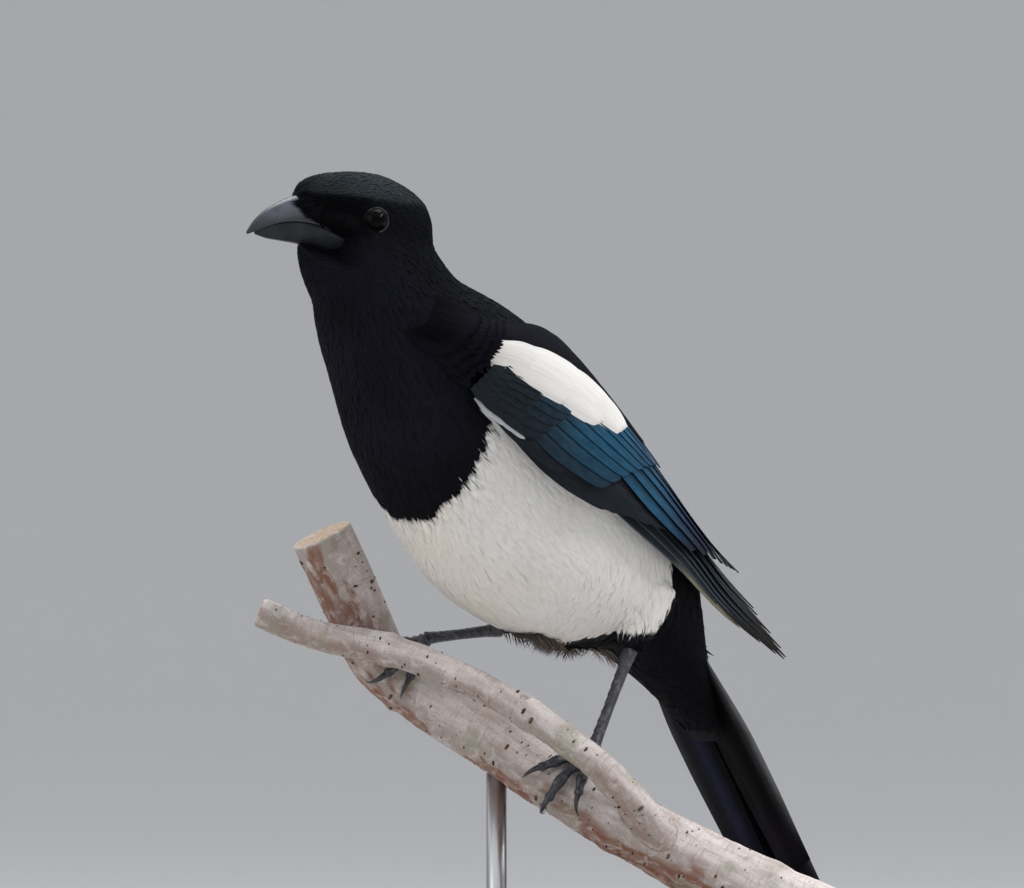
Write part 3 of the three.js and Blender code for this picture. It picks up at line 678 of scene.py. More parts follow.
def markings(points, colours):
    """Colour at points of the skin or coat, and how white they are, from the places on the body."""
    t, a = body_place(points)
    angle = np.abs(a)
    wander = speckle(points, 10.0, 1) * 0.005 + speckle(points, 4.0, 2) * 0.002
    bib = np.interp(angle, *np.transpose(BIB_EDGE)) + wander
    vent = np.interp(angle, *np.transpose(VENT_EDGE)) + wander
    white = (t < bib) & (t > vent) & (angle > 66 + 600 * wander)
    local = to_head(points)
    far = np.linalg.norm(local, axis=1)
    white &= far > 34
    leg = leg_distance(points, 0.3)
    white &= (points[:, 2] > 29 - 0.22 * (leg - 6) + 120 * wander) | (leg > 26)
    fluff = white & (angle > 166 + 500 * wander) & (t < 0.385 + wander)
    shade = speckle(points, 22.0, 3)
    # Painted shade: the white is painted a darker cream towards the belly's lower side, a cream tone with
    # painted shade.
    pale = mixed(colours.white, colours.cream,
                 np.clip(0.30 + 0.55 * ease(angle, 120, 178) + 0.35 * shade, 0, 1))
    # Painted sheen: above the brow line the top of the head is painted a lighter grey-green.
    crown = ease(local[:, 2] - 0.1 * local[:, 0], 8.2, 10.6) * (1 - ease(far, 25, 36))
    dark = mixed(colours.black, colours.crown, np.clip(crown * (0.75 + 0.5 * shade), 0, 1))
    # Painted shadow under the brow: the black of the face's front, below the crown's edge, is painted darker.
    lore = ease(local[:, 0], 1, 7) * (1 - crown) * (1 - ease(far, 28, 34)) * ease(local[:, 2], -9, -4)
    dark = mixed(dark, np.array(colours.black) * 0.35, lore)
    tinge = ease(t, 0.56, 0.66) * (1 - ease(t, 0.86, 0.95)) * ease(angle, 70, 110)
    dark = mixed(dark, colours.violet, np.clip(tinge * (0.6 + 0.6 * shade), 0, 1) * (1 - crown))
    colour = np.where(white[:, None], pale, dark)
    colour = np.where(fluff[:, None], mixed(FLUFF_DARK, FLUFF_BROWN, np.clip(0.4 + shade, 0, 1)), colour)
    return colour, white & ~fluff, fluff, t, angle


# Sizes and colours that a user would change
def colour_property(name, description, default):
    return FloatVectorProperty(name=name, description=description, subtype="COLOR", size=3, min=0, max=1,
                               default=default)


class PlumageSettings(bpy.types.PropertyGroup):
    black: colour_property("Black", "Body feathers of the hood, back and vent", (0.0050, 0.0054, 0.0072))
    # A painted sheen: the lighter grey-green painted on the top of the head.
    crown: colour_property("Crown", "Greyish gloss on the crown", (0.026, 0.032, 0.036))
    violet: colour_property("Violet", "Tinge on the breast and the neck's side", (0.0105, 0.010, 0.018))
    white: colour_property("White", "Belly and scapular feathers", (0.80, 0.79, 0.77))
    # This colour is a cream tone with painted shade: it darkens the belly's lower side and the scapulars'
    # roots.
    cream: colour_property("Cream", "Shade of the belly's lower side", (0.74, 0.69, 0.63))
    teal: colour_property("Teal", "Greater coverts and secondaries", (0.013, 0.066, 0.120))
    slate: colour_property("Slate", "Lesser coverts", (0.010, 0.013, 0.017))
    indigo: colour_property("Indigo", "Tertials and tail gloss", (0.010, 0.014, 0.045))
    length: FloatProperty(name="Length", description="Feathers' length against the standard", default=1.0,
                          min=0.5, max=1.5)
    seed: IntProperty(name="Seed", description="Scatter of the feathers", default=7)


class PerchSettings(bpy.types.PropertyGroup):
    pale: colour_property("Pale bark", "Papery outer bark", (0.62, 0.555, 0.535))
    rusty: colour_property("Rusty bark", "Peeled bark on the underside", (0.20, 0.085, 0.05))
    lenticels: IntProperty(name="Lenticels", description="Dark raised pores on branch and shoot", default=420,
                           min=0)
    wood: colour_property("Base wood", "Turned base", (0.16, 0.075, 0.035))
    rod_radius: FloatProperty(name="Rod radius", description="Steel rod", unit="LENGTH", default=0.004)


class HeadSettings(bpy.types.PropertyGroup):
    horn: colour_property("Horn", "Bill and claws", (0.020, 0.021, 0.026))
    # A painted highlight: the paler colour painted along the top of the upper bill.
    horn_top: colour_property("Horn highlight", "Paler side of the upper bill", (0.080, 0.088, 0.112))
    iris: colour_property("Iris", "Iris round the pupil", (0.0018, 0.0012, 0.001))
    leg: colour_property("Leg", "Scaled skin of shank and toes", (0.026, 0.027, 0.034))
    bristles: IntProperty(name="Bristles", description="Bristles over each nostril", default=260, min=0)


class StageSettings(bpy.types.PropertyGroup):
    azimuth: FloatProperty(name="Azimuth", description="Camera's direction round the bird", subtype="ANGLE",
                           default=math.radians(-40))
    width: FloatProperty(name="View width", description="Width of the picture at the bird", unit="LENGTH",
                         default=0.3994)
    lens: FloatProperty(name="Lens", description="Focal length in millimetres", default=600.0)
    floor: colour_property("Floor", "Plain pale floor", (0.56, 0.56, 0.555))


def settings():
    return bpy.context.scene.magpie


class MagpieSettings(bpy.types.PropertyGroup):
    plumage: PointerProperty(type=PlumageSettings)
    perch: PointerProperty(type=PerchSettings)
    head: PointerProperty(type=HeadSettings)
    stage: PointerProperty(type=StageSettings)


# The coat
class Skin:
    """The body's surface under the coat, with the lie of the feathers over it."""

    def __init__(self, mesh):
        self.points = bird_points(mesh)
        corner = [list(p.vertices) for p in mesh.polygons]
        self.quads = np.array([c if len(c) == 4 else c + [c[2]] for c in corner])
        self.tree = BVHTree.FromPolygons([Vector(p) for p in self.points], corner)
        a, b, c, d = (self.points[self.quads[:, i]] for i in range(4))
        cross = np.cross(c - a, d - b)
        self.area = np.linalg.norm(cross, axis=1) / 2
        normal = np.zeros_like(self.points)
        for i in range(4):
            np.add.at(normal, self.quads[:, i], cross)
        self.normal = unit(normal)
        forward = [[30, 0, 4], [22, 0, 4], [12, 0, 3], [2, 0, 3], [-8, 0, 2], [-17, 0, -3]]
        line = np.vstack([from_head(np.array(forward, float)), body_section(np.linspace(0.88, 0.0, 40))[0]])
        flow = unit(np.gradient(line, axis=0))
        reach = np.interp(np.arange(len(line)), [0, 5, 14], [11, 15, 26])
        for leg in LEGS.values():
            hip, heel = leg["hip"], leg["heel"]
            line = np.vstack([line, hip + (heel - hip) * np.linspace(0.45, 1, 6)[:, None]])
            flow = np.vstack([flow, np.repeat(unit(heel - hip)[None], 6, 0)])
            reach = np.concatenate([reach, np.full(6, 7.0)])
        self.line, self.line_flow, self.reach = line, flow, reach

    def flow(self, points, normals):
        """Which way the feathers lie, bill to tail, at points of the skin."""
        far = ((points[:, None] - self.line[None]) ** 2).sum(-1)
        weight = np.exp(-(far - far.min(1, keepdims=True)) / (2 * self.reach ** 2)) / self.reach
        way = weight @ self.line_flow
        return unit(way - normals * dot(way, normals)[:, None])

    def settle(self, points):
        """The nearest places on the skin, and the smooth normals there."""
        hits = [self.tree.find_nearest(Vector(p)) for p in points]
        spot = np.array([h[0] for h in hits])
        return spot, unit(self.normal[self.quads[[h[2] for h in hits]]].mean(1))

    def scatter(self, spacing, rng):
        """Evenly spread roots; spacing gives their distance at each point, or 0 for none."""
        middle = self.points[self.quads].mean(1)
        near = spacing(middle)
        chance = np.where(near > 0, self.area / np.maximum(near, 0.1) ** 2, 0)
        count = int(chance.sum() * 3.2)
        face = rng.choice(len(chance), count, p=chance / chance.sum())
        u, v = rng.random(count)[:, None], rng.random(count)[:, None]
        a, b, c, d = (self.points[self.quads[face, i]] for i in range(4))
        spots = (a * (1 - u) + b * u) * (1 - v) + (d * (1 - u) + c * u) * v
        gap = near[face]
        cell = float(gap.max())
        kept, grid = [], {}
        for i, (p, g) in enumerate(zip(spots.tolist(), gap.tolist())):
            x, y, z = int(p[0] // cell), int(p[1] // cell), int(p[2] // cell)
            free = True
            for key in ((x + i1, y + j1, z + k1) for i1, j1, k1 in NEIGHBOURS):
                for q in grid.get(key, ()):
                    if (p[0] - q[0]) ** 2 + (p[1] - q[1]) ** 2 + (p[2] - q[2]) ** 2 < g * g:
                        free = False
                        break
                if not free:
                    break
            if free:
                kept.append(i)
                grid.setdefault((x, y, z), []).append(p)
        return spots[kept], unit(self.normal[self.quads[face[kept]]].mean(1))

    def tufts(self, form, roots, normals, way, length, width, ridge, lift, profile, droop=None):
        """Points of tufts that follow the skin: lift gives the height at each station."""
        stations = len(profile)
        share = np.linspace(0, 1, stations) if stations < 4 else np.array([0, 0.34, 0.66, 0.88, 1.0])
        spots, ups, ways = [roots], [normals], [way]
        for k in range(1, stations):
            step = (length * (share[k] - share[k - 1]))[:, None]
            spot, up = self.settle(spots[-1] + ways[-1] * step)
            turn = self.flow(spot, up)
            kept = unit(0.45 * ways[-1] + 0.55 * turn)
            spots.append(spot)
            ups.append(up)
            ways.append(unit(kept - up * dot(kept, up)[:, None]))
        points = np.empty((len(roots), len(form), 3))
        shading = np.empty_like(points)
        for v, (x, y, z) in enumerate(form):
            k = int(round(z))
            across = np.cross(ups[k], ways[k])
            height = lift[k] + y * ridge * profile[k]
            points[:, v] = spots[k] + across * (x * width * profile[k])[:, None] + ups[k] * height[:, None]
            shading[:, v] = ups[k] + across * 0.30 * x + ways[k] * 0.10 * share[k]
            if droop is not None:
                points[:, v] -= Z * (droop * share[k] ** 2)[:, None]
        return points, shading, spots

    def bake_place(self, roots):
        """Roots on an unwrap of the skin: the angle round it, and the place along it from bill to tail."""
        t, a = body_place(roots)
        local = to_head(roots)
        head = (np.linalg.norm(local, axis=1) < 30) & (t > 0.8)
        around = np.where(head, np.degrees(np.arctan2(local[:, 1], local[:, 2])) / 360 + 0.5, a / 360 + 0.5)
        along = np.where(head, 0.99 - 0.18 * (local[:, 0] + 30) / 62, 0.02 + 0.76 * t)
        return np.stack([0.01 + 0.97 * around, np.clip(along, 0.01, 0.985)], -1)


def beside_wing():
    """A test of which points of the left side lie under the folded wing's sheet."""
    along, across = np.meshgrid(np.linspace(0.0, 1, 70), np.linspace(-0.02, 1.0, 24), indexing="ij")
    points = sheet(along, across)
    corners = points.reshape(-1, 3)
    faces = [(i * 24 + j, i * 24 + j + 1, (i + 1) * 24 + j + 1, (i + 1) * 24 + j) for i in range(69)
             for j in range(23)]
    tree = BVHTree.FromPolygons([Vector(p) for p in corners], faces)

    def covered(spots, normals, margin=3.0):
        flip = np.where(spots[:, 1:2] > 0, [1, -1, 1], [1, 1, 1])
        hidden = np.zeros(len(spots), bool)
        for i, (p, n) in enumerate(zip(spots * flip, normals * flip)):
            if -60 < p[0] < 130 and p[1] < -5:
                hit = tree.ray_cast(Vector(p), Vector(n), 26.0)
                if hit[0] is not None:
                    row, col = divmod(hit[2], 23)
                    hidden[i] = row > 1 and 1 < col < 22
                else:
                    back = tree.ray_cast(Vector(p), -Vector(n), 9.0)
                    hidden[i] = back[0] is not None and 3 < back[2] // 23
        return hidden

    return covered


KINDS = {  # length, half width, spacing, height of the tip, height of the ridge
    "face": (2.6, 0.55, 0.88, 0.40, 0.08),
    "crown": (4.4, 0.9, 1.2, 0.42, 0.07),
    "throat": (7.5, 1.0, 1.45, 0.62, 0.08),
    "body": (9.5, 1.55, 1.7, 0.55, 0.07),
    "thigh": (6.5, 1.0, 1.45, 0.7, 0.08),
}


def coat_kind(points):
    """The kind of feather at each point, as smooth shares of KINDS."""
    local = to_head(points)
    far = np.linalg.norm(local * [1, 1, 0.9], axis=1)
    t, _ = body_place(points)
    face = ease(local[:, 0], -9, 4) * (1 - ease(far, 27, 33))
    crown = (1 - face) * (1 - ease(far, 25, 36))
    throat = (1 - face - crown) * ease(t, 0.62, 0.74)
    thigh = (1 - face - crown - throat) * (1 - ease(leg_distance(points, 0.55), 9, 15))
    shares = np.stack([face, crown, throat, 1 - face - crown - throat - thigh, thigh], -1)
    return shares @ np.array([KINDS[k] for k in ("face", "crown", "throat", "body", "thigh")])


def in_bill(local, grow):
    """Whether points of the head's frame are inside the bill."""
    forward, side, height = np.moveaxis(local, -1, 0)
    mouth, above, below, top, keel = bill_lines(forward)
    up = height > mouth
    tall = np.where(up, top - mouth, mouth - keel) * grow
    wide = np.where(up, above, below) * grow
    inside = (side / wide) ** 2 + ((height - mouth) / np.maximum(tall, 0.5)) ** 2 < 1
    return inside & (forward > 8) & (forward < 49)


def eye_frame(side):
    """Middle of an eye and the direction that it faces, in the head's frame; side is 1 on the left."""
    share = np.interp(EYE["forward"], [r[0] for r in HEAD_ROWS], np.linspace(0, 1, len(HEAD_ROWS)))
    _, top, bottom, width = head_at(share)
    lift = (EYE["height"] - (top + bottom) / 2) / ((top - bottom) / 2)
    surface = width * math.sqrt(1 - lift * lift)
    out = np.array([math.sin(EYE["toe"]), side * math.cos(EYE["toe"]), 0.0])
    return np.array([EYE["forward"], side * (surface - EYE["sunk"]), EYE["height"]]), out


def about_eye(local, side):
    """Points from an eye's middle, how far out along its facing they are, and how far off that line."""
    middle, out = eye_frame(side)
    rel = local - middle
    depth = rel @ out
    return rel, depth, np.linalg.norm(rel - depth[:, None] * out, axis=1)


class MAGPIE_OT_skin(bpy.types.Operator):
    """One skin for head, neck, body and thighs, inside them by the coat's depth"""
    bl_idname = "magpie.skin"
    bl_label = "Skin"

    def execute(self, context):
        angle = np.linspace(0, 2 * np.pi, 64, endpoint=False)
        shares = np.linspace(0.045, 1, 90)
        body = body_point(shares[:, None], angle[None], -1.1 - 5.5 * (1 - ease(shares[:, None], 0.02, 0.20)))
        head = from_head(head_point(np.linspace(0, 1, 60)[:, None], angle[None], -0.6))
        parts = [ring_loft(body), ring_loft(head)]
        for leg in LEGS.values():
            hip, heel = leg["hip"], leg["heel"]
            s = np.linspace(0, 1, 14)
            path = hip + (heel - hip) * (s * 0.93)[:, None]
            parts.append(ring_loft(tube_rings(path, np.interp(s, [0, 0.5, 1], [13, 9.2, 4.4]), 32)))
        for bm in parts:
            to_row(bm)
        skin = remeshed(join_bmesh(parts), SKIN_VOXEL, 6)
        points = bird_points(skin)
        local = to_head(points)
        rear = np.flatnonzero((local[:, 0] < 8) & (np.abs(local[:, 2] + 12) < 18)
                              & (np.linalg.norm(local, axis=1) < 46))
        bm = bmesh.new()
        bm.from_mesh(skin)
        bm.verts.ensure_lookup_table()
        for _ in range(22):
            bmesh.ops.smooth_vert(bm, verts=[bm.verts[i] for i in rear], factor=0.5, use_axis_x=True,
                                  use_axis_y=True,
                                  use_axis_z=True)
        bm.to_mesh(skin)
        bm.free()
        points = bird_points(skin)
        local = to_head(points)
        near = (local[:, 0] > 6) & (local[:, 2] > -26) & (local[:, 2] < 12)
        points[near] = from_head(beside_bill(local[near]))
        put_points(skin, points)
        # The skin is painted a little darker than the coat over it: painted shade in the gaps between the
        # tufts.
        paint(skin, "Coat", markings(points, settings().plumage)[0] * 0.95)
        note(skin, "Lie", np.zeros((len(points), 3)))
        finish = plumage("Down", dict(Roughness=0.8, Specular_IOR_Level=0.08))
        piece("skin", skin, finish, ("head", "neck", "torso", "thigh_left", "thigh_right"))
        return {"FINISHED"}


class MAGPIE_OT_coat(bpy.types.Operator):
    """Feathers of the head and body, in overlapping tufts with finer barbs over them"""
    bl_idname = "magpie.coat"
    bl_label = "Coat"

    def execute(self, context):
        p = settings().plumage
        rng = np.random.default_rng(p.seed)
        skin = Skin(bpy.data.objects["skin"].data)
        covered = beside_wing()

        def spacing(points):
            local = to_head(points)
            gap = coat_kind(points)[:, 2]
            gap[in_bill(local, 1.02) | (body_place(points)[0] < 0.085)] = 0
            for side in (1, -1):
                _, depth, radial = about_eye(local, side)
                gap[(radial < 4.9) & (depth > -3)] = 0
            return gap

        roots, normals = skin.scatter(spacing, rng)
        open_air = ~covered(roots, normals)
        roots, normals = roots[open_air], normals[open_air]
        kind = coat_kind(roots)
        colour, white, fluff, t, angle = markings(roots, p)
        way = skin.flow(roots, normals)
        count = len(roots)
        across = np.cross(normals, way)
        lean = rng.normal(0, 0.13, count)[:, None]
        way = unit(way + across * lean)
        length = kind[:, 0] * p.length * rng.uniform(0.85, 1.15, count)
        local = to_head(roots)
        for side in (1, -1):
            rel, depth, radial = about_eye(local, side)
            ahead = (rel[:, 0] > 0) & (radial < 9) & (depth > -3)
            length = np.where(ahead, np.minimum(length, np.maximum(radial - 4.6, 0.9)), length)
        near_tail = ease(t, 0.08, 0.2)
        length = length * (0.6 + 0.4 * near_tail)
        height = kind[:, 3] * rng.uniform(0.8, 1.15, count) * (0.45 + 0.55 * near_tail)
        tone = 1 + rng.uniform(-0.12, 0.12, count) * np.where(white, 0.25, 1)
        height = height * np.where(white, 0.8, 1)
        form, faces = spike_form(5)
        profile = (0.55, 1.0, 0.95, 0.6, 0.0)
        lift = [height * s for s in (-0.25, 0.35, 0.75, 0.95, 1.0)]
        points, shading, spots = skin.tufts(form, roots, normals, way, length, kind[:, 1], kind[:, 4], lift,
                                            profile)
        tint = np.stack([markings(roots * 0.25 + spot * 0.75, p)[0] for spot in spots], 1)
        shading = soft_shading(points, faces, form, shading)
        bake = skin.bake_place(roots)
        station = form[:, 2] / 4
        vanes = {
            "points": points, "shading": shading,
            # Painted shade towards each tuft's root, where the tufts before it cover it; stronger on black
            # than on white.
            "colour": tint[:, form[:, 2].astype(int)] * tone[:, None, None]
            * (1 - np.where(white, 0.03, 0.12)[:, None] * (1 - station)[None])[..., None],
            "lie": stacked(form[None, :, 0] * kind[:, 1:2] * 0.5, station[None] * length[:, None] * 0.12,
                                                rng.random(count)[:, None]),
            "bake": bake[:, None] + 0.003 * (np.stack([form[:, 0] * 0.5, station], -1) - [0.0, 0.5])[None],
            "faces": faces, "root": roots,
        }
        many = rng.poisson(1.0, count) + 1
        many = np.where(fluff, many + 5, many)
        pick = np.repeat(np.arange(count), many)
        spread = rng.uniform(-1, 1, len(pick)) * kind[pick, 1]
        back = rng.uniform(0, 0.6, len(pick)) * length[pick]
        start, up = skin.settle(roots[pick] + across[pick] * spread[:, None] + way[pick] * back[:, None])
        hair_way = unit(way[pick] + across[pick] * (rng.normal(0, 0.12, len(pick))
                                                    + 0.10 * spread / kind[pick, 1])[:, None])
        long = length[pick] * rng.uniform(0.45, 0.8, len(pick)) * np.where(fluff[pick], 1.5, 1)
        tall = height[pick] * (0.45 + 0.55 * back / length[pick]) + 0.10
        form, faces = spike_form(3)
        slim = 0.11 + 0.07 * kind[pick, 1]
        fall = np.where(fluff[pick], rng.uniform(1.5, 6.0, len(pick)), 0.0)
        points, shading, _ = skin.tufts(form, start, up, hair_way, long, slim, slim * 0.7,
                                        [tall * 0.5, tall, tall * 1.1 + 0.1], (0.9, 1.0, 0.0), fall)
        shading = soft_shading(points, faces, form, shading)
        hairs = {
            "points": points, "shading": shading,
            "colour": mixed(np.where(fluff[pick, None], colour[pick], tint[pick, 2])[:, None], FLUFF_TIP,
                            np.where(fluff[pick, None], form[None, :, 2] * 0.4, 0.0))
            * (1 + rng.uniform(-0.2, 0.2, len(pick)) * np.where(white[pick], 0.25, 1))[:, None, None],
            "lie": stacked(form[None, :, 0] * 0.05, form[None, :, 2] * 0.3, rng.random(len(pick))[:, None]),
            "bake": bake[pick][:, None]
                 + 0.003 * (np.stack([form[:, 0] * 0.5, form[:, 2] / 2], -1) - [0.0, 0.5])[None],
            "faces": faces, "root": roots[pick],
        }
        black = plumage("Black body feathers", dict(Roughness=0.75, Specular_IOR_Level=0.035))
        pale = plumage("White body feathers", dict(Roughness=0.75, Specular_IOR_Level=0.15), 0.94, 1.04, 0.2)
        place = np.select([white, kind[:, 0] < 6.3, t > 0.74, (t > 0.5) & (angle < 110), t > 0.42],
                          [0, 1, 2, 3, 4], 5)
        names = ["belly", "head", "neck", "back", "breast", "vent"]
        for k, name in enumerate(names):
            for label, layer, chosen in (("", vanes, place == k), ("_barbs", hairs, place[pick] == k)):
                if not chosen.any():
                    continue
                triangles = chosen.sum() * len(layer["faces"])
                left = layer["root"][:, 1] < 0
                halves = [chosen] if triangles < PIECE_TRIANGLES else [chosen & left, chosen & ~left]
                for n, half in enumerate(halves):
                    mesh = mesh_from(layer["points"][half], layer["faces"], layer["colour"][half],
                                     layer["lie"][half],
                                     layer["bake"][half], layer["shading"][half])
                    piece(f"coat_{name}{label}" + ("" if len(halves) == 1 else "_lr"[1 + n]), mesh,
                          pale if name == "belly" else black)
        return {"FINISHED"}


# Large feathers
def large_feathers(path, normal_at, half, thick, shape, camber, tilt, colours, cells, shaft=0.0, wide=6,
                   long=14):
    """Blades along paths; path and normal_at take shares of the length, and half gives the half widths."""
    form, faces = blade_form(wide, long)
    count = len(half)
    s = np.broadcast_to(form[None, :, 1], (count, len(form)))
    u = form[None, :, 0]
    middle = path(s)
    ahead = unit(path(np.minimum(s + 0.01, 1.01)) - path(s - 0.01))
    out = normal_at(s)
    over = unit(np.cross(out, ahead))
    lean = tilt[:, None, None] if np.ndim(tilt) == 1 else tilt
    flat = over * np.cos(lean) - out * np.sin(lean)
    up = out * np.cos(lean) + over * np.sin(lean)
    width = shape(s) * half[:, None]
    edge = u + (1 - u * u) * shaft
    ridge = np.exp(-((u / 0.09) ** 2)) * 0.22 * (1 - s * 0.7)
    bow = camber * (1 - edge * edge)
    lower = form[None, :, 2] < -0.5
    height = np.where(lower, -thick, 0) * (1 - 0.6 * np.abs(u)) + bow + ridge * ~lower
    points = middle + flat * (width * edge)[..., None] + up * height[..., None]
    aside = 0.25 * np.broadcast_to(u, s.shape) + 0.30 * np.sign(u) * np.exp(-((np.abs(u) / 0.3) ** 2))
    shading = np.where(lower, -1.0, 1.0)[..., None] * up + flat * aside[..., None]
    lie = stacked(u, s, np.arange(count)[:, None] * 0.37 % 1)
    columns, first = cells
    cell = np.arange(count) + first
    corner = np.stack([cell % columns, cell // columns], -1)[:, None] / columns
    bake = corner + stacked((u + 1) / 2 * 0.46 + 0.02 + 0.5 * lower, s * 0.94 + 0.03) / columns
    return points, faces[:, ::-1], colours(u, s), lie, bake, shading


def rounded(s, tip=0.93, root=0.5, sharp=0.6):
    """Width of a feather along it: widening from the quill, and rounded at its tip."""
    grow = root + (1 - root) * ease(s, 0, 0.45)
    end = np.sqrt(np.clip(1 - np.clip((s - tip) / (1 - tip), 0, 1) ** 2, 0.0009, 1))
    return grow * end * (1 - (1 - sharp) * ease(s, 0.55, 1.0))


# Name, count, roots and tips as shares along and across the wing for the first and the last feather, half
# width, lift at the root and further out, where the tip begins to round, its sharpness, and the tips' bow.
WING_GROUPS = [
    ("primary", 9, (0.2, 0.03, 0.34, 0.34), (0.86, -0.01, 0.90, 0.56), 5.0, (-1.4, -2.6), 0.78, 0.30, 0.14),
    ("secondary", 8, (0.3, 0.22, 0.3, 0.86), (0.62, 0.16, 0.84, 0.90), 7.0, (0.0, 0.2), 0.88, 0.7, 0.02),
    ("primary covert", 6, (0.10, -0.03, 0.2, 0.06), (0.36, -0.05, 0.50, 0.05), 3.8, (0.4, 0.2), 0.84, 0.6,
     0.0),
    ("greater covert", 10, (0.12, 0.06, 0.19, 0.70), (0.33, 0.05, 0.47, 0.62), 5.2, (0.9, 1.7), 0.84, 0.8,
     0.0),
    ("alula", 3, (0.05, -0.02, 0.08, 0.03), (0.24, -0.03, 0.29, 0.03), 3.0, (1.0, 1.2), 0.84, 0.7, 0.0),
    ("median covert", 11, (0.06, 0.03, 0.13, 0.66), (0.165, 0.04, 0.26, 0.62), 4.2, (1.3, 2.1), 0.75, 0.9,
     0.0),
    ("lesser covert low", 12, (0.03, 0.02, 0.09, 0.62), (0.115, 0.03, 0.19, 0.60), 3.5, (1.5, 2.3), 0.72,
     0.95, 0.0),
    ("lesser covert mid", 12, (0.04, 0.02, 0.06, 0.58), (0.09, 0.03, 0.135, 0.58), 3.2, (1.6, 2.4), 0.72,
     0.95, 0.0),
    ("lesser covert top", 10, (0.025, 0.02, 0.035, 0.54), (0.065, 0.03, 0.095, 0.54), 3.0, (1.7, 2.5), 0.72,
     0.95, 0.0),
    ("edge", 4, (0.04, -0.03, 0.08, -0.02), (0.085, -0.04, 0.145, -0.02), 1.3, (1.6, 2.0), 0.7, 0.9, 0.0),
    ("scapular low", 7, (0.19, 0.32, 0.22, 0.54), (0.315, 0.39, 0.335, 0.50), 4.0, (2.3, 2.8), 0.66, 0.85,
     0.0),
    ("scapular mid", 8, (0.12, 0.29, 0.15, 0.56), (0.26, 0.31, 0.31, 0.53), 3.9, (2.4, 3.0), 0.66, 0.95, 0.0),
    ("scapular high", 8, (0.05, 0.28, 0.05, 0.56), (0.18, 0.28, 0.23, 0.54), 3.8, (2.4, 3.1), 0.66, 0.95,
     0.0),
    ("scapular top", 8, (0.012, 0.30, 0.012, 0.54), (0.13, 0.28, 0.15, 0.54), 3.5, (1.4, 2.7), 0.66, 0.95,
     0.0),
    ("mantle low", 10, (0.24, 0.62, 0.20, 1.03), (0.40, 0.55, 0.44, 0.99), 3.9, (1.5, 2.0), 0.66, 0.9, 0.0),
    ("mantle mid", 11, (0.15, 0.61, 0.12, 1.03), (0.32, 0.60, 0.32, 1.00), 3.8, (1.3, 2.0), 0.66, 0.95, 0.0),
    ("mantle high", 11, (0.07, 0.60, 0.04, 1.03), (0.24, 0.60, 0.22, 1.01), 3.8, (1.0, 1.9), 0.66, 0.95, 0.0),
    ("mantle top", 11, (-0.01, 0.58, -0.04, 1.03), (0.15, 0.60, 0.13, 1.01), 3.8, (0.4, 1.7), 0.66, 0.95,
     0.0),
]


def wing_colour(name, p, share):
    """Colour over a wing feather of a group, by its place in the row, across it and along it."""
    black = np.array(p.slate) * 0.55

    def colour(u, s):
        f = np.broadcast_to(share[:, None], s.shape)
        u = np.broadcast_to(u, s.shape)
        if name.startswith("scapular"):
            # Painted shade towards the scapulars' roots, where the feathers before them cover them, in the
            # cream tone.
            return mixed(p.white, p.cream, 0.15 + 0.35 * (1 - s)) * 0.9
        if name.startswith("mantle"):
            return mixed(p.black, p.violet, 0.25 * s)
        if name == "edge":
            return mixed((0.20, 0.22, 0.25), p.white, 0.15 + 0.35 * s)
        if name.startswith("lesser"):
            return mixed(p.slate, np.array(p.teal) * 0.5, 0.10 * f + 0.05 * s)
        if name == "median covert":
            return mixed(p.slate, p.teal, 0.05 + 0.35 * ease(f, 0.1, 0.5) * s)
        if name in ("primary covert", "alula"):
            return mixed(black, p.slate, 0.4 + 0.6 * s)
        outer = 1 - ease(u, -0.35, 0.15)
        if name == "greater covert":
            vivid = mixed(p.slate, p.teal,
                          (0.2 + 0.8 * ease(f, -0.1, 0.35)) * (0.35 + 0.65 * ease(s, 0.1, 0.6)))
            return mixed(vivid, p.indigo, 0.45 * ease(s, 0.55, 0.95) * ease(f, 0.2, 0.8))
        if name == "secondary":
            tone = mixed(p.teal, p.indigo, ease(0.8 * f + 1.1 * s, 0.45, 1.15))
            tone = mixed(tone, black, 0.9 * ease(s + 0.25 * f, 0.62, 1.05))
            return mixed(black, tone, 0.2 + 0.8 * outer)
        edge = ease(-u, 0.66, 0.86) * (1 - ease(s, 0.72, 0.93))
        base = mixed(black * 0.7, (0.010, 0.008, 0.0065), ease(s, 0.6, 1.0))
        # Painted shade: near the tips of the first primaries the white inner web is painted olive-brown, as
        # it lies in shade.
        inner_web_shade = ease(0.12 - f, 0.0, 0.1) * ease(s, 0.55, 0.75) * ease(0.2 - u, 0.0, 0.4)
        return mixed(mixed(base, (0.040, 0.060, 0.085), edge), (0.20, 0.18, 0.12), inner_web_shade * 0.8)

    return colour


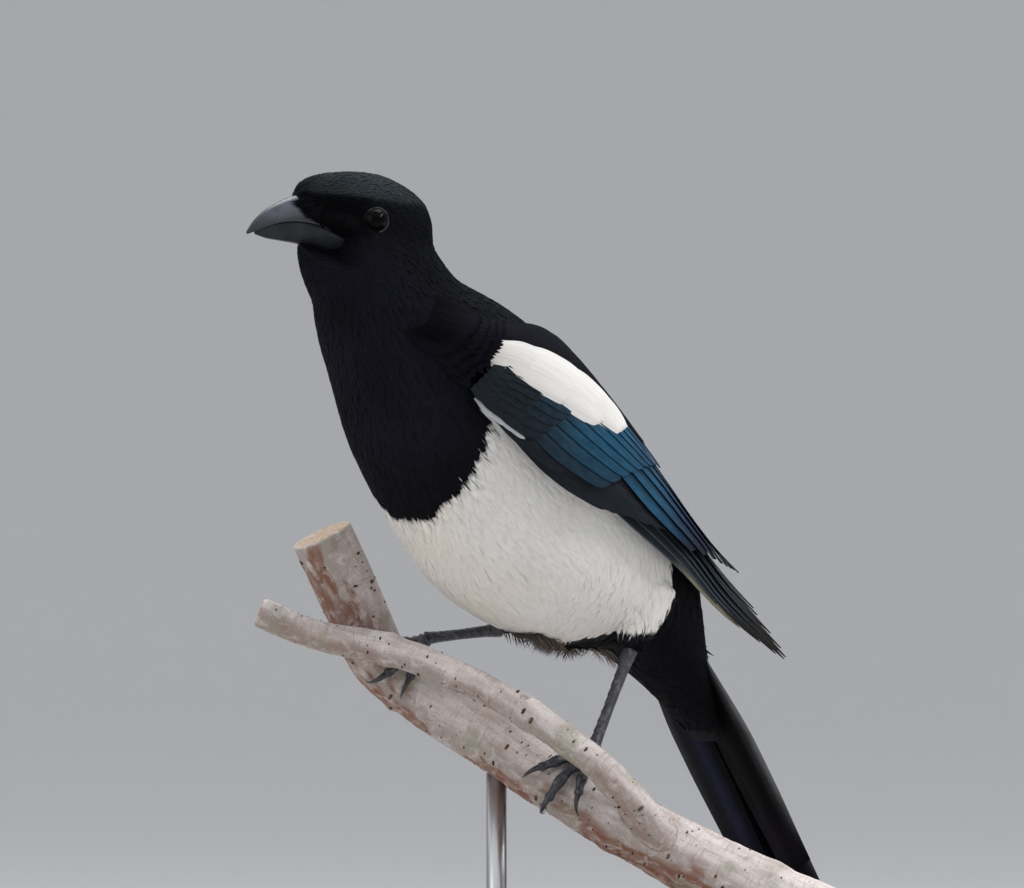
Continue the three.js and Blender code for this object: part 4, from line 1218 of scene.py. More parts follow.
def left_wing(p):
    """Every feather of the left wing, as mesh arrays by group."""
    made, cell = [], 0
    for name, count, root, tip, half, lift, round_from, sharp, reach in WING_GROUPS:
        share = np.linspace(0, 1, count)
        bow = reach * np.sin(np.pi * np.minimum(share * 1.1, 1))

        def place(s, share=share, root=root, tip=tip, lift=lift, bow=bow):
            f = share[:, None]
            along = (root[0] + (root[2] - root[0]) * f) * (1 - s) + (tip[0] + (tip[2] - tip[0]) * f
                                                                     + bow[:, None]) * s
            across = (root[1] + (root[3] - root[1]) * f) * (1 - s) + (tip[1] + (tip[3] - tip[1]) * f) * s
            return along, across, lift[0] + (lift[1] - lift[0]) * np.clip(s * 2.2, 0, 1)

        middle = wing_point(*place(np.full((count, 1), 0.5)))[:, 0]
        step = np.linalg.norm(np.gradient(middle, axis=0), axis=1)
        size = np.full(count, half) * (1 + 0.06 * np.sin(np.arange(count) * 2.1))
        soft = name.startswith(("scapular", "lesser", "median", "mantle", "edge"))
        arrays = large_feathers(
            lambda s: wing_point(*place(s)), lambda s: sheet_out(*place(s)[:2]), size, 0.22 if soft else 0.28,
            lambda s: rounded(s, round_from, 0.5, sharp), 0.5 if soft else 0.35,
            np.arctan2(0.62, np.maximum(step, 1.6)) * (-1 if name.startswith(("scapular", "mantle")) else 1),
            wing_colour(name, p, share), (13, cell), shaft=0.0 if soft else -0.25)
        cell += count
        made.append((name, arrays))
    return made


def cape(p, skin):
    """Black shoulder feathers that run from the body's skin out over the front of the left wing."""
    made = []
    rng = np.random.default_rng(5)
    for row, (count, start, end,
              lift) in enumerate(((62, -0.03, 0.018, 4.3), (60, -0.07, 0.0, 3.8), (58, -0.11, -0.02, 3.1),
                                                         (56, -0.16, -0.05, 2.4))):
        across = np.linspace(0.0, 1.06, count) + 0.01 * row
        end = end + rng.uniform(-0.006, 0.006, count)
        start = np.full(count, start)
        lift = lift - 2.2 * ease(0.25 - across, 0.0, 0.25)
        tip, tip_out = wing_point(end, across, lift), sheet_out(end, across)
        ahead = unit(sheet(end + 0.02, across) - sheet(end, across))
        root, root_out = skin.settle(wing_point(start, across, np.zeros(count)))
        root = root - root_out * 0.9
        reach = np.linalg.norm(tip - root, axis=1, keepdims=True)
        way = tip - root
        way = unit(way - root_out * dot(way, root_out)[:, None])
        hold = [root, root + way * reach / 3, tip - ahead * reach / 3, tip]

        def path(s, hold=hold):
            s = s[..., None]
            a, b, c, d = (h[:, None] for h in hold)
            return a * (1 - s) ** 3 + 3 * b * s * (1 - s) ** 2 + 3 * c * s * s * (1 - s) + d * s ** 3

        def normal_at(s, root_out=root_out, tip_out=tip_out):
            return unit(root_out[:, None] * (1 - s[..., None]) + tip_out[:, None] * s[..., None])

        made.append(large_feathers(
            path, normal_at, np.full(count, 1.5), 0.2, lambda s: rounded(s, 0.35, 0.8, 0.8), 0.3,
            -np.arctan2(0.5, np.full(count, 2.2)), wing_colour("mantle", p, np.linspace(0, 1, count)),
                                   (16, 64 * row)))
    return made


def merge_arrays(groups, mirror=False):
    """Arrays of several groups of one form as the inputs of one mesh, mirrored to the right side if asked."""
    points, colour, lie, bake, shading = (np.concatenate([g[i] for g in groups]) for i in (0, 2, 3, 4, 5))
    faces = groups[0][1]
    if mirror:
        points, shading, faces = points * [1, -1, 1], shading * [1, -1, 1], faces[:, ::-1]
        points[..., 1] += FAR_TIP_OUT * ease(points[..., 0], 60, 130)
        points = points + FAR_FRONT * (1 - ease(points[..., 0], -45, 0))[..., None]
    return points, faces, colour, lie, bake, shading


class MAGPIE_OT_wings(bpy.types.Operator):
    """Folded wings: flight feathers, coverts and white scapulars, left and mirrored right"""
    bl_idname = "magpie.wings"
    bl_label = "Wings"

    def execute(self, context):
        p = settings().plumage
        stiff = glossy_vane("Flight feathers", dict(Specular_IOR_Level=0.10))
        soft = plumage("Scapular feathers", dict(Roughness=0.7, Specular_IOR_Level=0.15), 0.9, 1.05, 0.25)
        mantle = plumage("Mantle feathers", dict(Roughness=0.8, Specular_IOR_Level=0.02))
        groups = left_wing(p)
        shoulder = cape(p, Skin(bpy.data.objects["skin"].data))
        for side in ("left", "right"):
            flip = side == "right"
            flight = [g for name, g in groups if name in ("primary", "secondary")]
            covert = [g for name, g in groups if "covert" in name or name == "alula"]
            dark = [g for name, g in groups if name.startswith("mantle")]
            white = [g for name, g in groups if name.startswith("scapular") or name == "edge"]
            piece(f"flight_feathers_{side}", mesh_from(*merge_arrays(flight, flip)), stiff,
                  (f"wing_{side}",))
            piece(f"coverts_{side}", mesh_from(*merge_arrays(covert, flip)), stiff)
            piece(f"scapulars_{side}", mesh_from(*merge_arrays(white, flip)), soft)
            piece(f"mantle_{side}", mesh_from(*merge_arrays(dark, flip)), mantle)
            if flip:
                kept = slice(FAR_CAPE_START, None)
                shoulder = [(g[0][kept], g[1], *(a[kept] for a in g[2:])) for g in shoulder]
            piece(f"shoulder_{side}", mesh_from(*merge_arrays(shoulder, flip)), mantle)
            self.pad(side, p, stiff)
        return {"FINISHED"}

    def pad(self, side, p, finish):
        """The fleshy front of the wing, which closes the gaps under the coverts."""
        rings = []
        for along in np.linspace(0.0, 0.56, 22):
            body = math.sqrt(math.sin(math.pi * (along / 0.56 * 0.86 + 0.07)))
            across = np.linspace(0.5 - 0.49 * body, 0.5 + 0.49 * body, 14)
            swell = np.sqrt(np.clip(np.sin(np.pi * (np.arange(14) + 0.25) / 13.5), 0, 1)) * body
            top = wing_point(np.full(14, along), across, 0.2 * swell)
            low = wing_point(np.full(14, along), across, -5.5 * swell - 0.6)
            rings.append(np.vstack([top, low[::-1]]))
        rings = np.array(rings) * ([1, -1, 1] if side == "right" else [1, 1, 1])
        mesh = mesh_of(ring_loft(rings), "pad")
        points = bird_points(mesh)
        paint(mesh, "Coat", np.repeat(np.array([p.slate]) * 0.5, len(points), 0))
        note(mesh, "Lie", np.zeros((len(points), 3)))
        piece(f"wing_pad_{side}", mesh, finish)


class MAGPIE_OT_tail(bpy.types.Operator):
    """Long graduated tail of twelve feathers, folded one under another"""
    bl_idname = "magpie.tail"
    bl_label = "Tail"

    def execute(self, context):
        back = np.array([math.cos(TAIL_DROP), 0, -math.sin(TAIL_DROP)])
        top = np.array([math.sin(TAIL_DROP), 0, math.cos(TAIL_DROP)])
        groups = []
        for side in (1, -1):
            pairs = np.arange(6)
            length = np.array(TAIL_LENGTHS, float)
            inner = np.where(pairs == 0, -9.5, 0.25)
            outer = 14.5 + 1.9 * pairs
            level = np.where(pairs == 0, 0 if side > 0 else 1, pairs + 1)
            middle = TAIL_ROOT - top * (level * 0.88)[:, None] + Y * (side * (inner + outer) / 2)[:, None]

            def path(s, middle=middle, length=length, side=side, pairs=pairs):
                spread = side * 0.9 * (pairs / 5)[:, None] * s
                return middle[:, None] + back * (length[:, None] * s)[..., None] + Y * spread[..., None]

            def colour(u, s, side=side):
                u = np.broadcast_to(u, s.shape)
                tone = mixed((0.0022, 0.0024, 0.0032), (0.0060, 0.0030, 0.0085),
                             0.7 * np.exp(-(((s - 0.86) / 0.09) ** 2)))
                # Painted sheen: a blue-violet gloss strip along the middle of the feathers on one side.
                indigo_sheen = np.exp(-(((u - 0.1) / 0.42) ** 4)) * ease(s, 0.22, 0.42) * (1 - ease(s, 0.8, 1.0))
                tone = mixed(tone, (0.012, 0.013, 0.030), 0.85 * indigo_sheen * (side > 0))
                # Painted sheen: a pale line along the outer edge of the outermost feathers, faint on one
                # side.
                line = ease(side * u, 0.72, 0.84) * (1 - ease(s, 0.55, 0.95)) * (0.15 if side > 0 else 1.0)
                return mixed(tone, (0.30, 0.31, 0.33), 0.75 * line * (pairs >= 4)[:, None])

            groups.append(large_feathers(
                path, lambda s: np.broadcast_to(top, (*s.shape, 3)), (outer - inner) / 2, 0.3,
                lambda s: rounded(s, 0.955, 0.55, 0.86), 0.45, 0 * length, colour,
                                         (12, 60 + (6 if side < 0 else 0)),
                shaft=-0.3 * side, wide=8, long=24))
        finish = glossy_vane("Tail feathers", dict(Specular_IOR_Level=0.03), 0.25)
        piece("tail_feathers", mesh_from(*merge_arrays(groups)), finish, ("tail",))
        return {"FINISHED"}


# Head
def mandible(upper):
    """One half of the bill between the mouth line and its ridge or keel, in the head's frame."""
    rows = [[m[0], m[1], m[2] if upper else m[3], (CULMEN if upper else GONYS)[k]] for k,
            m in enumerate(MOUTH_ROWS)]
    at = through(rows if upper else rows[:7])
    sign = 1 if upper else -1
    rings = []
    for forward, mouth, width, edge in at(1 - (1 - np.linspace(0, 1, 44)) ** 1.3):
        a = np.linspace(0, np.pi, 23)
        tall = max(sign * (edge - mouth), 0.5)
        flat = mouth - sign * 0.14
        keel = 1 - 0.10 * np.sin(2 * a) ** 2
        side = np.sign(np.cos(a)) * np.abs(np.cos(a)) ** 0.86 * width * keel
        lip = 0.25 * np.exp(-((np.sin(a) / 0.22) ** 2)) * np.sign(np.cos(a)) * min(width / 5, 1)
        outer = np.stack([np.full(23, forward), side + lip, flat + sign * tall * np.sin(a)], -1)
        under = np.array([[forward, width * k, flat + sign * 0.35 * (1 - k * k)]
                          for k in (-0.7, -0.3, 0.3, 0.7)])
        rings.append(np.vstack([outer, under]))
    return ring_loft(from_head(np.array(rings)))


class MAGPIE_OT_bill(bpy.types.Operator):
    """Upper and lower bill, and the bristles that lie over the nostrils"""
    bl_idname = "magpie.bill"
    bl_label = "Bill and bristles"

    def execute(self, context):
        h, p = settings().head, settings().plumage
        finish = (horn("Lower bill horn", dict(Specular_IOR_Level=0.15)),
                  horn("Bill horn", dict(Specular_IOR_Level=0.5)))
        for name, upper in (("bill_upper", True), ("bill_lower", False)):
            mesh = mesh_of(mandible(upper), name)
            local = to_head(bird_points(mesh))
            # Painted highlight: the upper side of each half of the bill is painted paler, most along the
            # upper bill's ridge.
            high = 0.06 * ease(local[:, 2], -8, -2)
            if upper:
                high = ease(local[:, 2] - 0.25 * (30 - local[:, 0]), 0.5, 6)
            highlight_share = high * (0.45 + 0.55 * ease(local[:, 0], 20, 32)) * (1 - 0.85 * ease(local[:, 0], 38, 47))
            # Painted shade: the lower bill is painted darker than the upper.
            colour = mixed(h.horn, h.horn_top, highlight_share) * (1.0 if upper else 0.6)
            paint(mesh, "Coat", mixed(p.black, colour, ease(local[:, 0], 9.5, 19)))
            piece(name + "_horn", mesh, finish[upper], (name,), levels=1)
        self.bristles(h.bristles, p)
        return {"FINISHED"}

    def bristles(self, count, p):
        rng = np.random.default_rng(3)
        form, faces = spike_form(5)
        groups = []
        for side in (1, -1):
            f = rng.uniform(-0.8, 1, count)
            edge = np.interp(f, [-0.8, -0.25, 0, 0.35, 0.9, 1], [9.5, 13, 18, 25.5, 30.5, 31.5])
            root_forward = edge - 4.5 - 1.5 * np.maximum(f, 0) + rng.normal(0, 0.8, count)
            root_height = 9.6 * f + rng.normal(0, 0.8, count)
            tip_forward = edge + rng.normal(0, 0.8, count)
            tip_height = -1.6 + 10.2 * f + rng.normal(0, 0.5, count)
            share = form[:, 2][None] / 4
            forward = root_forward[:, None] + (tip_forward - root_forward)[:, None] * share
            height = root_height[:, None] + (tip_height - root_height)[:, None] * share
            mouth, above, below, top, keel = bill_lines(forward)
            up = np.clip((height - mouth) / np.maximum(top - mouth, 0.5), 0, 0.985)
            down = np.clip((mouth - height) / np.maximum(mouth - keel, 0.5), 0, 0.985)
            bill = np.where(height > mouth, above * np.sqrt(1 - up ** 2) ** 0.86,
                            below * np.sqrt(1 - down ** 2) ** 0.86)
            heads = [np.interp(forward, [r[0] for r in HEAD_ROWS], [r[i] for r in HEAD_ROWS])
                     for i in (1, 2, 3)]
            lift = np.clip((height - (heads[0] + heads[1]) / 2) / ((heads[0] - heads[1]) / 2), -0.985, 0.985)
            cheek = (heads[2] - 0.3) * np.sqrt(1 - lift ** 2) * np.where(forward < 29.5, 1,
                                                                         0) * face_form(forward, height)
            loose = rng.uniform(0, 0.45, count)[:, None] * np.sin(np.pi * np.clip(share, 0, 0.9))
            out = np.maximum(bill, cheek) + 0.25 + loose
            profile = np.array([0.8, 1, 0.8, 0.5, 0.0])[form[:, 2].astype(int)]
            width = 0.30 * profile * form[:, 0]
            local = np.stack([forward, side * (out + 0.22 * form[:, 1] * profile), height + width], -1)
            points = from_head(local)
            tone = rng.uniform(0.5, 1.1, count)[:, None, None]
            colour = np.ones((count, len(form), 1)) * np.array(p.black)[None, None] * tone
            lie = stacked(form[None, :, 0] * 0.1, share, f[:, None])
            bake = 0.02 + 0.9 * np.stack([f, rng.random(count)],
                                         -1)[:, None] + 0.003 * stacked(form[None, :, 0], share)
            groups.append((points, faces if side > 0 else faces[:, ::-1], colour, lie, bake))
        finish = plumage("Bristles", dict(Roughness=0.75, Specular_IOR_Level=0.03))
        both = [mesh_from(*g) for g in groups]
        for mesh, name in zip(both, ("left", "right")):
            piece(f"bristles_{name}", mesh, finish)


class MAGPIE_OT_eyes(bpy.types.Operator):
    """Eyeballs with a clear bulge over the iris, and the lids round them"""
    bl_idname = "magpie.eyes"
    bl_label = "Eyes and lids"

    def execute(self, context):
        h = settings().head
        glass = smooth_colour("Eye", dict(Specular_IOR_Level=0.05), 1500.0, (0.03, 0.05), 0.0)
        rim = scaled_skin("Lid skin", dict(Specular_IOR_Level=0.4))
        for side, name in ((1, "left"), (-1, "right")):
            middle, out = eye_frame(side)
            a = np.linspace(0, math.pi, 40)
            radius = EYE["radius"] + 0.32 * np.exp(-((a / 0.62) ** 4))
            ball = spun([(r * math.sin(k), r * math.cos(k)) for k, r in zip(a, radius)], 56)
            mesh, turned = self.placed(ball, middle, out)
            angle = np.arctan2(np.linalg.norm(turned[:, :2], axis=1), turned[:, 2])
            pupil, edge = ease(angle, 0.40, 0.44), ease(angle, 0.84, 0.92)
            colour = mixed((0.002, 0.002, 0.002), h.iris, pupil)
            paint(mesh, "Coat", mixed(colour, (0.006, 0.005, 0.005), edge))
            piece(f"eyeball_{name}", mesh, glass, (f"eye_{name}",))
            profile = [(LID["radius"] + LID["thick"] * math.cos(k),
                        LID["height"] + LID["thick"] * math.sin(k))
                       for k in np.linspace(0, 2 * math.pi, 18, endpoint=False)]
            lid = spun(profile, 72, closed=True)
            mesh, turned = self.placed(lid, middle, out)
            low = ease(-turned[:, 1] - 0.35 * turned[:, 0] * np.sign(out[1]), -1.5, 4.0)
            paint(mesh, "Coat", mixed((0.003, 0.003, 0.004), (0.030, 0.031, 0.037), low))
            piece(f"lids_{name}", mesh, rim)
        return {"FINISHED"}

    @staticmethod
    def placed(bm, middle, out):
        """Places a turned form at an eye and returns its mesh with the vertices' own places."""
        turned = np.array([v.co for v in bm.verts])
        side = unit(np.cross(out, [0, 0, 1.0]))
        up = np.cross(side, out)
        world = from_head(middle + turned[:, :1] * side + turned[:, 1:2] * up + turned[:, 2:] * out)
        for v, p in zip(bm.verts, world):
            v.co = p
        bmesh.ops.recalc_face_normals(bm, faces=bm.faces)
        return mesh_of(bm, "eye"), turned


# Legs
def branch_frame(station):
    """Middle, radius, rows' spacing and directions of the branch at a station along its rows."""
    last = len(BRANCH_ROWS) - 1
    row = branch_at(station / last)
    ahead = branch_at((station + 0.05) / last)[:3] - branch_at((station - 0.05) / last)[:3]
    along = unit(ahead)
    up = unit(Z - along * along[2])
    front = unit(np.cross(along, up))
    return row[:3], row[3], np.linalg.norm(ahead) / 0.1, along, up, front if front[0] < 0 else -front


def wrap(station, arc, slide, height):
    """A point over the branch: how far round from its top, how far along it, and how high."""
    spacing = branch_frame(station)[2]
    middle, radius, _, _, up, front = branch_frame(station + slide / spacing)
    angle = arc / (radius + TOE_RADIUS)
    return middle + (up * math.cos(angle) + front * math.sin(angle)) * (radius + height)


def scutes(count, height, face=0.0, spread=1.2):
    """A swell that steps like overlapping plates along the front of a leg or toe."""
    def swell(share, angle):
        saw = (share * count) % 1.0
        front = np.exp(-((np.angle(np.exp(1j * (angle - face))) / spread) ** 4))
        return height * (saw ** 1.5 - 0.35) * front
    return swell


class MAGPIE_OT_legs(bpy.types.Operator):
    """Scaled shanks, jointed toes with pads, and hooked claws"""
    bl_idname = "magpie.legs"
    bl_label = "Legs and feet"

    def execute(self, context):
        h = settings().head
        skin = scaled_skin("Leg scales", dict(Specular_IOR_Level=0.5))
        claw = horn("Claw horn", dict(Specular_IOR_Level=0.6))
        for side, leg in LEGS.items():
            heel = leg["heel"]
            ankle = wrap(leg["station"], 0, 0, 6.5)
            s = np.linspace(0, 1, 120)
            path = heel + (ankle - heel) * (s * 1.03 - 0.03)[:, None]
            radius = np.interp(s, [0, 0.06, 0.2, 0.55, 0.85, 1], [3.0, 2.9, 2.3, 2.05, 2.25, 2.7])
            shank = ring_loft(tube_rings(path, radius, 28, scutes(11, 0.32, self.facing(path), 1.25)))
            self.scaled(shank, f"shank_{side}_scales", skin, h.leg, (f"shank_{side}",))
            parts, claws = [], []
            under = wrap(leg["station"], 0, 0, TOE_RADIUS + 1.1)
            pad = np.vstack([ankle + (ankle - under) * 0.1, ankle, (ankle + under) / 2, under])
            line = through(np.column_stack([pad, [2.5, 2.9, 3.1, 2.6]]))(np.linspace(0, 1, 24))
            parts.append(ring_loft(tube_rings(line[:, :3], line[:, 3], 24)))
            for turn, length, hook in TOES:
                toe, nail = self.toe(leg["station"], math.radians(turn), length, hook)
                parts.append(toe)
                claws.append(nail)
            self.scaled(join_bmesh(parts), f"foot_{side}_toes", skin, h.leg, (f"foot_{side}",))
            self.scaled(join_bmesh(claws), f"claws_{side}", claw, np.array(h.horn) * 0.5)
        return {"FINISHED"}

    @staticmethod
    def facing(path):
        """The angle of a tube's section that looks forward."""
        _, side, up = frames_along(path)
        return math.atan2(-up[5][0], -side[5][0])

    @staticmethod
    def scaled(bm, name, finish, colour, replaces=()):
        mesh = mesh_of(bm, name)
        points = positions(mesh) * 1000
        tone = 1 + 0.35 * speckle(points, 2.5, 5)
        paint(mesh, "Coat", np.array(colour)[None] * tone[:, None])
        piece(name, mesh, finish, replaces)

    @staticmethod
    def toe(station, turn, length, hook):
        middle, _, _, along, _, front = branch_frame(station)
        straight = np.array([-1.0, 0, 0])
        turn += 0.25 * math.atan2(straight @ along, straight @ front)
        rest = TOE_RADIUS + 0.45
        far = np.linspace(0, 1, 50)
        path = [wrap(station, length * k * math.cos(turn), length * k * math.sin(turn),
                     rest + 1.2 * (1 - k) ** 2)
                for k in far]
        pads = 0.30 * np.cos(far * math.pi * 6)
        size = 2.35 - 0.55 * far + pads
        size = size * np.sqrt(np.clip(1 - np.clip((far - 0.93) / 0.075, 0, 1) ** 2, 0.08, 1))
        _, side, over = frames_along(path)
        away = unit(np.array(path[10]) - middle)
        top = math.atan2(over[10] @ away, side[10] @ away)
        toe = ring_loft(tube_rings(path, size, 20, scutes(max(int(length / 1.9), 6), 0.26, top, 1.1)))
        far = np.linspace(0, 1, 30)
        reach = length - 2.0 + (hook + 2.0) * far
        size = 1.35 * (1 - far) ** 0.9 + 0.05
        arch = 2.2 + 3.4 * np.sin(math.pi * np.clip(far * 1.02, 0, 1)) * (1 - far * 0.35) - 2.1 * far
        path = [wrap(station, r * math.cos(turn), r * math.sin(turn), h) for r, h in zip(reach, arch)]
        return toe, ring_loft(tube_rings(path, size, 16))


# Perch and stand
def bark(name, settings_values):
    """Smooth papery bark: long streaks, cross lines and flakes, by the places along and round the branch."""
    f = Finish(name, **settings_values)
    lie = f.attribute("Lie")
    streak = f.noise(f.place(scale=(0.05, 0.34, 0.3), source=lie), 1.0, 4.0, 0.6, 0.4)
    cross = f.noise(f.place(scale=(0.95, 0.10, 0.3), source=lie), 1.0, 3.0, 0.6, 0.5)
    flake = f.noise(f.place(scale=(0.16, 0.22, 0.3), source=lie), 1.0, 5.0, 0.65, 0.8)
    fine = f.noise(f.place(scale=(0.5, 2.6, 0.3), source=lie), 1.0, 3.0, 0.6)
    colour = f.blend(f.span(streak, 0.44, 0.66, 0, 0.5), f.attribute("Coat", "Color"), (0.33, 0.265, 0.24))
    colour = f.blend(f.span(flake, 0.50, 0.68, 0, 0.55), colour, (0.66, 0.62, 0.605))
    colour = f.blend(f.span(cross, 0.54, 0.74, 0, 0.5), colour, (0.22, 0.16, 0.14))
    colour = f.blend(f.span(fine, 0.54, 0.72, 0, 0.6), colour, (0.16, 0.11, 0.09))
    height = f.sum("ADD", f.sum("MULTIPLY", cross, -0.7),
                   f.sum("ADD", f.sum("MULTIPLY", flake, 0.5), f.sum("MULTIPLY", streak, 0.5)))
    return f.done(Base_Color=colour, Roughness=f.span(flake, 0.35, 0.65, 0.75, 0.5),
                  Normal=f.bump(height, 0.7, 0.0007))


class MAGPIE_OT_perch(bpy.types.Operator):
    """Cut branch with its side shoot: bark, knots, pores and the sawn ends"""
    bl_idname = "magpie.perch"
    bl_label = "Branch"

    def execute(self, context):
        p = settings().perch
        parts = []
        for at, sides, knots in ((branch_at, 56, ((0.30, 0.9), (0.62, 0.8), (0.80, 0.7))),
                                 (shoot_at, 40, ((0.25, 0.9), (0.515, 0.9), (0.70, 0.4)))):
            s = np.linspace(0, 1, 220)
            row = at(s)
            radius = row[:, 3] - 0.35
            for place, size in knots:
                radius = radius + size * np.exp(-(((s - place) / 0.012) ** 2))
            rings = tube_rings(row[:, :3], radius, sides)
            parts.append(to_row(ring_loft(rings)))
        mesh = remeshed(join_bmesh(parts), BARK_VOXEL, 3)
        points = bird_points(mesh)
        normal = np.empty(len(points) * 3, np.float32)
        mesh.vertex_normals.foreach_get("vector", normal)
        normal = normal.reshape(-1, 3).astype(float)
        lines = [at(np.linspace(0, 1, CURVE)) for at in (branch_at, shoot_at)]
        line = np.vstack(lines)
        ahead = np.vstack([unit(np.gradient(one[:, :3], axis=0)) for one in lines])
        near = np.concatenate([(((q[:, None] - line[None, :, :3]) ** 2).sum(-1) / line[None, :,
                                                                                       3] ** 2).argmin(1)
                               for q in np.array_split(points, 24)])
        end = np.abs(dot(ahead[near], normal)) > 0.8
        end &= np.minimum(near % CURVE, CURVE - 1 - near % CURVE) < 4
        core, radius = line[near, :3], line[near, 3]
        rel = points - core
        front = unit(np.cross(ahead[near], np.cross([-0.55, -0.75, 0.35], ahead[near])))
        above = np.cross(ahead[near], front)
        step = np.linalg.norm(np.diff(line[:, :3], axis=0), axis=1)
        step[CURVE - 1] = 60.0
        arc = np.concatenate([[0], np.cumsum(step)])[near] + dot(rel, ahead[near])
        round_it = np.arctan2(dot(rel, above), dot(rel, front)) * radius
        laid = np.stack([arc, round_it, np.where(near < CURVE, 0.0, 40.0)], -1)
        swell = speckle(points, 14, 1) * 0.55 + speckle(points, 5, 2) * 0.22 + speckle(laid * [1, 0.18, 1],
                                                                                       1.6, 3) * 0.12
        scars = np.zeros(len(points))
        for middle, size in SCARS:
            far = np.linalg.norm(points - middle, axis=1) / size
            swell = swell + 0.28 * size * (np.exp(-(((far - 1) / 0.32) ** 2))
                                           - 0.9 * np.exp(-((far / 0.55) ** 2)))
            scars = np.maximum(scars, np.exp(-((far / 0.8) ** 4)) * (0.55 + 0.45 * np.cos(far * 14)))
        points = points + normal * np.where(end, 0.05, swell)[:, None]
        put_points(mesh, points)
        # How far the bark faces downwards; it places the painted shade and the rusty peeled bark on the
        # underside.
        down = ease(-normal[:, 2] + 0.3 * speckle(laid * [0.4, 1, 1], 8, 4), -0.25, 0.35)
        peel = ease(speckle(laid * [0.22, 1, 1], 7, 5) + 0.35 * speckle(laid * [0.5, 1, 1], 3, 6), -0.08,
                    0.14)
        thick = np.where(near < CURVE, 1.0, 0.35)
        colour = mixed(p.pale, (0.42, 0.34, 0.31), 0.7 * ease(speckle(laid * [0.35, 1, 1], 6, 8), -0.1, 0.5))
        # Painted shade: the underside of branch and shoot is painted darker.
        colour = mixed(colour, (0.25, 0.20, 0.165), 0.7 * down)
        colour = mixed(colour, p.rusty, np.clip(down * peel * thick, 0, 1))
        colour = mixed(colour, (0.27, 0.27, 0.19), 0.5 * ease(speckle(points, 12, 7), 0.25, 0.5))
        colour = mixed(colour, (0.10, 0.065, 0.05), scars * 0.85)
        out = np.linalg.norm(points - core, axis=1) / radius
        ring = 0.5 + 0.5 * np.cos(out * 34 + 1.2 * speckle(points, 6, 9))
        cut = mixed((0.52, 0.38, 0.24), (0.36, 0.23, 0.13), ring * 0.6)
        colour = np.where((end & (out < 0.9))[:, None], cut, colour)
        paint(mesh, "Coat", colour)
        note(mesh, "Lie", laid)
        piece("branch_bark", mesh, bark("Bark", dict(Specular_IOR_Level=0.3)), ("perch",))
        self.pores(mesh, points, normal, ahead[near], end, p.lenticels)
        return {"FINISHED"}

    @staticmethod
    def pores(mesh, points, normal, ahead, end, count):
        """Small raised pores, drawn out across the branch."""
        rng = np.random.default_rng(11)
        free = np.flatnonzero(~end)
        pick = free[rng.choice(len(free), count, replace=False)]
        bm = bmesh.new()
        bmesh.ops.create_icosphere(bm, subdivisions=1, radius=1.0)
        form, faces = form_arrays(bm)
        along = unit(ahead[pick] - normal[pick] * dot(ahead[pick], normal[pick])[:, None])
        across = np.cross(normal[pick], along)
        size = rng.gamma(2.2, 0.14, count)[:, None, None] + 0.16
        spot = points[pick][:, None] + across[:, None] * form[None, :, :1] * size * 1.5 \
            + along[:, None] * form[None, :, 1:2] * size * 0.75 + normal[pick][:, None] * form[None, :,
                                                                                               2:] * 0.28
        colour = mixed((0.045, 0.028, 0.022), (0.13, 0.085, 0.065),
                       rng.random(count))[:, None] * np.ones((1, len(form), 1))
        lie = np.zeros_like(spot)
        bake = 0.02 + 0.95 * rng.random((count, 1, 2)) + 0.003 * form[None, :, :2]
        made = mesh_from(spot, faces, colour, lie, bake)
        piece("branch_pores", made,
              smooth_colour("Pores", dict(Specular_IOR_Level=0.2), 900.0, (0.7, 0.85), 0.4))


